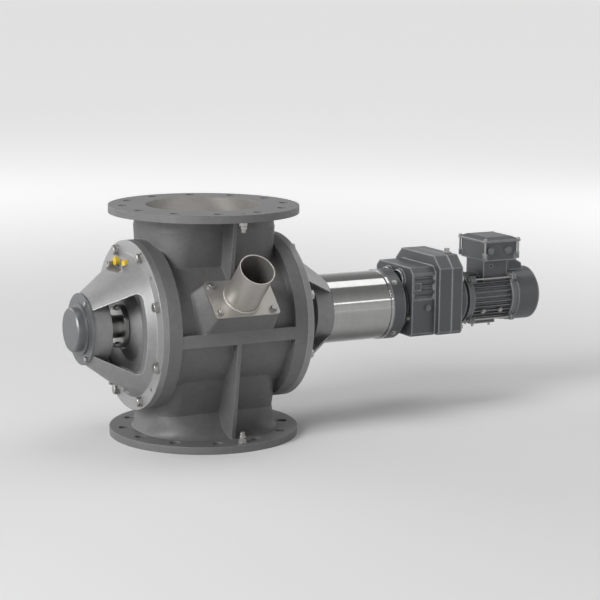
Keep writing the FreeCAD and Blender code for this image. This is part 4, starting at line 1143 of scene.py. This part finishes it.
@dataclass
class EndCovers(SubAssembly):
    """Both end covers with their bolts, seals, glands and the bearing cap."""

    nodes: ClassVar[Dressing] = {
        Kind.COVER: ("blind_cover", "drive_cover"),
        Kind.BOLT: ("cover_bolts", "cover_washers", "gland_studs", "cap_screws"),
        Kind.RUBBER: ("cover_seals",),
        Kind.PACKING: ("packing_rings",),
        Kind.BRONZE: ("purge_rings",),
        Kind.SHAFT: ("packing_glands",),
        Kind.CAP: ("bearing_cap",),
        Kind.YELLOW: ("purge_plugs",),
        Kind.BEARING: ("bearing_outers", "bearing_rollers"),
    }
    bolt_circle: float = 0.1655
    head_face: float = edges("cover_bolts", X)[1]
    jack_face: float = 0.1705
    stud_circle: float = 0.04
    nut_face: float = 0.207
    cap_circle: float = 0.0674
    cap_face: float = edges("cap_screws", X)[0]

    def build(self) -> None:
        """Crowns on the bolts and cap screws, threads on the studs, screws in the jacking holes."""
        crowns, threads, jacks = [], [], []
        for way in SIDES:
            crowns += ring_spots(way * self.head_face, self.bolt_circle, count=8, start=22.5, way=way)
            threads += ring_spots(way * self.nut_face, self.stud_circle, count=2, start=90.0, way=way)
            jacks += ring_spots(way * self.jack_face, self.bolt_circle, count=4, start=45.0, way=way)
        self.fit("cover_bolt_crowns", Crown(), crowns)
        self.fit("gland_threads", Thread(Length=0.0048), threads)
        self.fit("jacking_screws", SocketHead(Radius=0.0041, Height=0.003), jacks)
        screws = ring_spots(self.cap_face, self.cap_circle, count=3, start=0.0, way=-1.0)
        self.fit("cap_screw_crowns", Crown(Radius=0.0047, Height=0.0005, Chamfer=0.0008), screws)


@dataclass
class RotorLine(SubAssembly):
    """Everything that turns with the valve's rotor."""

    body: str = "rotor_line"
    nodes: ClassVar[Dressing] = {
        Kind.SHAFT: ("rotor", "rotor_shaft", "rotor_coupling_hub", "drive_coupling_hub", "output_shaft"),
        Kind.BEARING: ("bearing_inners", "shaft_nuts", "output_gear", "output_bearing_inners"),
        Kind.RUBBER: ("coupling_spider",),
    }


@dataclass
class Vent(SubAssembly):
    """The gas vent on its inclined face."""

    nodes: ClassVar[Dressing] = {
        Kind.RUBBER: ("vent_gasket",),
        Kind.VENT: ("vent_plate", "vent_tube"),
        Kind.BOLT: ("vent_bolts",),
    }
    drop: float = 0.0792
    plate_top: float = 0.1875
    bolt_x: float = 0.061
    bolt_y: float = 0.033
    bead_rise: float = 0.0008
    head_rise: float = 0.0071

    def at(self, x: float, y: float, rise: float) -> Point:
        """A point given along the vent's own axes.

        Args:
            x: Along the shaft.
            y: Up the inclined plate from the vent's axis.
            rise: Along the vent's axis from the shaft.

        Returns:
            The point in the valve's frame.
        """
        across = y - self.drop
        return (x, (across - rise) * HALF_ROOT, SHAFT_HEIGHT + (across + rise) * HALF_ROOT)

    def build(self) -> None:
        """The weld round the tube and the crowns of the four bolts."""
        aim = (0.0, -HALF_ROOT, HALF_ROOT)
        foot = Spot(self.at(0.0, 0.0, self.plate_top + self.bead_rise), aim)
        self.fit("vent_weld", WeldBead(), [foot], Kind.VENT)
        heads = [
            Spot(self.at(x * self.bolt_x, y * self.bolt_y, self.plate_top + self.head_rise), aim)
            for x in SIDES
            for y in SIDES
        ]
        self.fit("vent_bolt_crowns", SmallCrown(), heads)


@dataclass
class Drive(SubAssembly):
    """Lantern sleeve, gear unit and their fittings."""

    nodes: ClassVar[Dressing] = {
        Kind.SLEEVE: ("lantern_sleeve",),
        Kind.BOLT: ("sleeve_screws", "case_screws", "breather"),
        Kind.DRIVE: ("gear_case", "gear_cover", "bore_caps"),
        Kind.PLUG: ("oil_plugs",),
        Kind.RUBBER: ("oil_seals",),
        Kind.BEARING: ("drive_bearing_outers", "drive_bearing_rollers"),
    }
    screw_face: float = edges("case_screws", X)[1]
    screws: tuple[tuple[float, float], ...] = ((0.087, 0.31), (0.087, 0.2), (0.062, 0.352))
    neck_x: float = 0.4455
    neck_radius: float = 0.0798
    neck_angles: tuple[float, ...] = (45.0, -45.0, 135.0, -135.0)
    front_screw: Point = (0.48, 0.0632, 0.2245)
    pad: Point = (0.49325, 0.0768, 0.297)
    bore: Point = (0.473, 0.025, 0.3067)
    plug: Point = (middle("oil_plugs", X), edges("oil_plugs", Y)[1], middle("oil_plugs", Z))

    def build(self) -> None:
        """Crowns on the case screws, more screws, pads, bright bore rims that partly stand in for a
        painted highlight, and sockets in the oil plugs.
        """
        heads = mirrored(FORTH, *((self.screw_face, y, z) for y, z in self.screws))
        self.fit("case_screw_crowns", SmallCrown(), heads)
        neck = radial_spots(self.neck_x, self.neck_radius, self.neck_angles)
        self.fit("neck_screws", HexScrew(Corner=0.0052, Height=0.0042, Washer=0.0066), neck)
        self.fit("case_front_screws", HexScrew(Corner=0.0062), mirrored(BACK, self.front_screw))
        self.fit("case_pads", Block(), mirrored(OUT, self.pad), Kind.DRIVE)
        # Rims of bright ground steel round the bore mouths: a real rim, whose bright finish partly stands
        # in for a painted highlight.
        self.fit("bore_rims", Rim(), mirrored(BACK, self.bore), Kind.BEARING)
        socket = SocketHead(Radius=0.0058, Socket=0.0035, Height=0.0009)
        self.fit("oil_plug_sockets", socket, mirrored(OUT, self.plug), Kind.PLUG)


@dataclass
class GearTrain(SubAssembly):
    """The layshaft's pieces."""

    body: str = "layshaft_line"
    nodes: ClassVar[Dressing] = {
        Kind.BEARING: ("layshaft", "layshaft_gear", "layshaft_bearing_inners"),
    }


@dataclass
class Motor(SubAssembly):
    """The motor's fixed pieces and its terminal box."""

    nodes: ClassVar[Dressing] = {
        Kind.SHIELD: ("motor_flange", "motor_rear_shield"),
        Kind.DRIVE: ("motor_frame", "fan_cowl", "terminal_box", "terminal_lid"),
        Kind.BEARING: ("stator_core",),
        Kind.WINDING: ("stator_windings",),
        Kind.GREY: ("blanking_plugs",),
        Kind.BLACK: ("terminal_block",),
        Kind.BOLT: ("motor_screws",),
    }
    lid_top: float = 0.3898
    lid_screws: tuple[float, float] = (0.691, 0.783)
    lid_screw_y: float = 0.053
    frame_radius: float = 0.0555
    boss_x: tuple[float, float] = (0.693, 0.74)
    boss_angles: tuple[float, float] = (-30.0, 210.0)

    def build(self) -> None:
        """Sockets in the lid's screws and screws on the frame's bosses."""
        lid = mirrored(UP, *((x, self.lid_screw_y, self.lid_top) for x in self.lid_screws))
        self.fit("lid_screw_sockets", SocketHead(Radius=0.0039, Socket=0.0022, Height=0.0008), lid)
        bosses = []
        for x in self.boss_x:
            bosses += radial_spots(x, self.frame_radius, self.boss_angles)
        screw = HexScrew(Corner=0.0046, Height=0.0036, Washer=0.0062, Plate=0.0022)
        self.fit("frame_screws", screw, bosses)


@dataclass
class MotorLine(SubAssembly):
    """Everything that turns with the motor's shaft."""

    body: str = "motor_line"
    nodes: ClassVar[Dressing] = {
        Kind.SHAFT: ("motor_shaft",),
        Kind.ALLOY: ("motor_rotor_core",),
        Kind.BEARING: ("motor_pinion", "motor_bearing_inners"),
        Kind.BLACK: ("motor_fan",),
    }


@dataclass(frozen=True)
class Lamp:
    """A soft rectangular lamp: where it hangs, what it faces, width and height, and watts."""

    name: str
    place: Point
    target: Point
    size: tuple[float, float]
    power: float

    def hang(self) -> None:
        """Adds the lamp, unseen by the camera."""
        data = bpy.data.lights.new(self.name, "AREA")
        data.shape = "RECTANGLE"
        data.size, data.size_y = self.size
        data.energy = self.power
        lamp = bpy.data.objects.new(self.name, data)
        aim = (Vector(self.target) - Vector(self.place)).to_track_quat("-Z", "Y")
        lamp.matrix_world = Matrix.Translation(self.place) @ aim.to_matrix().to_4x4()
        lamp.visible_camera = False
        bpy.context.scene.collection.objects.link(lamp)


@dataclass
class Studio:
    """Floor, world, lamps and the camera at the photograph's angle."""

    pale: float = 0.8
    backdrop: float = 0.76
    ceiling: float = 0.3
    fill: float = 0.23
    horizon: float = 0.12
    climb: float = 1.6
    floor_reach: float = 60.0
    floor_roughness: float = 0.9
    floor_sheen: float = 0.1
    near: float = 0.8
    far: float = 5.0
    floor_glow: float = 0.55
    place: Point = (-1.644, -3.517, 0.979)
    pan: float = math.radians(-28.13)
    tilt: float = math.radians(10.03)
    roll: float = math.radians(0.62)
    lens: float = 109.2
    sensor: float = 36.0
    sight: float = 100.0
    lamps: tuple[Lamp, ...] = (
        Lamp("key_lamp", (-5.0, -1.7, 3.0), STUDIO_MIDDLE, (2.6, 2.6), 270.0),
        Lamp("top_lamp", (1.3, 0.1, 3.0), (1.3, 0.0, SHAFT_HEIGHT), (2.8, 1.3), 22.0),
        Lamp("strip_lamp", (1.5, -2.6, 1.3), (0.4, 0.0, SHAFT_HEIGHT), (2.0, 0.16), 2.4),
        Lamp("back_lamp", (-2.6, 4.4, 2.6), STUDIO_MIDDLE, (3.6, 3.6), 75.0),
        Lamp("end_lamp", (4.6, 1.2, 2.2), STUDIO_MIDDLE, (2.6, 2.6), 34.0),
    )

    def camera(self) -> None:
        """The camera at the photograph's place and angle."""
        camera = bpy.data.objects.new("camera", bpy.data.cameras.new("camera"))
        camera.data.lens = self.lens
        camera.data.sensor_width = self.sensor
        camera.data.clip_end = self.sight
        aim = Euler((math.pi / 2 - self.tilt, 0.0, self.pan)).to_matrix().to_4x4()
        roll = Matrix.Rotation(self.roll, 4, "Z")
        camera.matrix_world = Matrix.Translation(self.place) @ aim @ roll
        bpy.context.scene.collection.objects.link(camera)
        bpy.context.scene.camera = camera

    @staticmethod
    def _seen(graph: Graph) -> Wire:
        """One for rays from the camera, a mirror or a glass, which show the backdrop.

        Args:
            graph: The graph that asks.

        Returns:
            The mask.
        """
        path = graph.add("ShaderNodeLightPath").socket.node.outputs
        seen = Wire(graph, path["Is Camera Ray"])
        for name in ("Is Glossy Ray", "Is Transmission Ray"):
            seen = seen.maths("MAXIMUM", Wire(graph, path[name]))
        return seen

    def floor(self) -> None:
        """A plain pale floor at the foot of the valve."""
        mesh = bpy.data.meshes.new("floor")
        reach = self.floor_reach
        corners = [(-reach, -reach, 0), (reach, -reach, 0), (reach, reach, 0), (-reach, reach, 0)]
        mesh.from_pydata(corners, [], [(0, 1, 2, 3)])
        plane = bpy.data.objects.new("floor", mesh)
        shader = Shader("studio_floor")
        x, y, _ = shader.axes()
        far = ((x.across(y) - self.near) / (self.far - self.near)).clamped()
        glow = self._seen(shader) * far * far * (3.0 - 2.0 * far) * self.floor_glow
        light = shader.add("ShaderNodeCombineXYZ", sockets={0: glow, 1: glow, 2: glow})
        shader.set({"Base Color": (self.pale, self.pale, self.pale), "Roughness": self.floor_roughness})
        shader.set({"Specular IOR Level": self.floor_sheen})
        shader.set({"Emission Color": light, "Emission Strength": 1.0})
        mesh.materials.append(shader.material)
        bpy.context.scene.collection.objects.link(plane)

    def world(self) -> None:
        """A pale backdrop for the camera and for reflections, and a softer fill."""
        world = bpy.data.worlds.new("studio")
        bpy.context.scene.world = world
        world.use_nodes = True
        world.node_tree.nodes.clear()
        graph = Graph(world.node_tree)
        way = graph.add("ShaderNodeTexCoord", output="Generated")
        split = graph.add("ShaderNodeSeparateXYZ", sockets={0: way}, output=2)
        high = ((split - self.horizon) * self.climb).clamped()
        backdrop = self.backdrop - high * (self.backdrop - self.ceiling)
        level = self.fill + self._seen(graph) * (backdrop - self.fill)
        light = graph.add("ShaderNodeBackground", {}, {"Color": (1.0, 1.0, 1.0, 1.0), "Strength": level})
        graph.add("ShaderNodeOutputWorld", {}, {"Surface": light})

    def make(self) -> None:
        """Sets up the whole studio."""
        self.floor()
        self.world()
        for lamp in self.lamps:
            lamp.hang()
        self.camera()
        bpy.context.scene.view_settings.view_transform = "Standard"


def main() -> None:
    """Builds every group in order."""
    logging.basicConfig(level=logging.INFO, format="%(name)s %(message)s")
    finishes = Finishes()
    for group in (ValveBody, EndCovers, RotorLine, Vent, Drive, GearTrain, Motor, MotorLine):
        group(finishes).make()
        log.info("%s is ready", group.__name__)
    Studio().make()


if __name__ == "__main__":
    main()
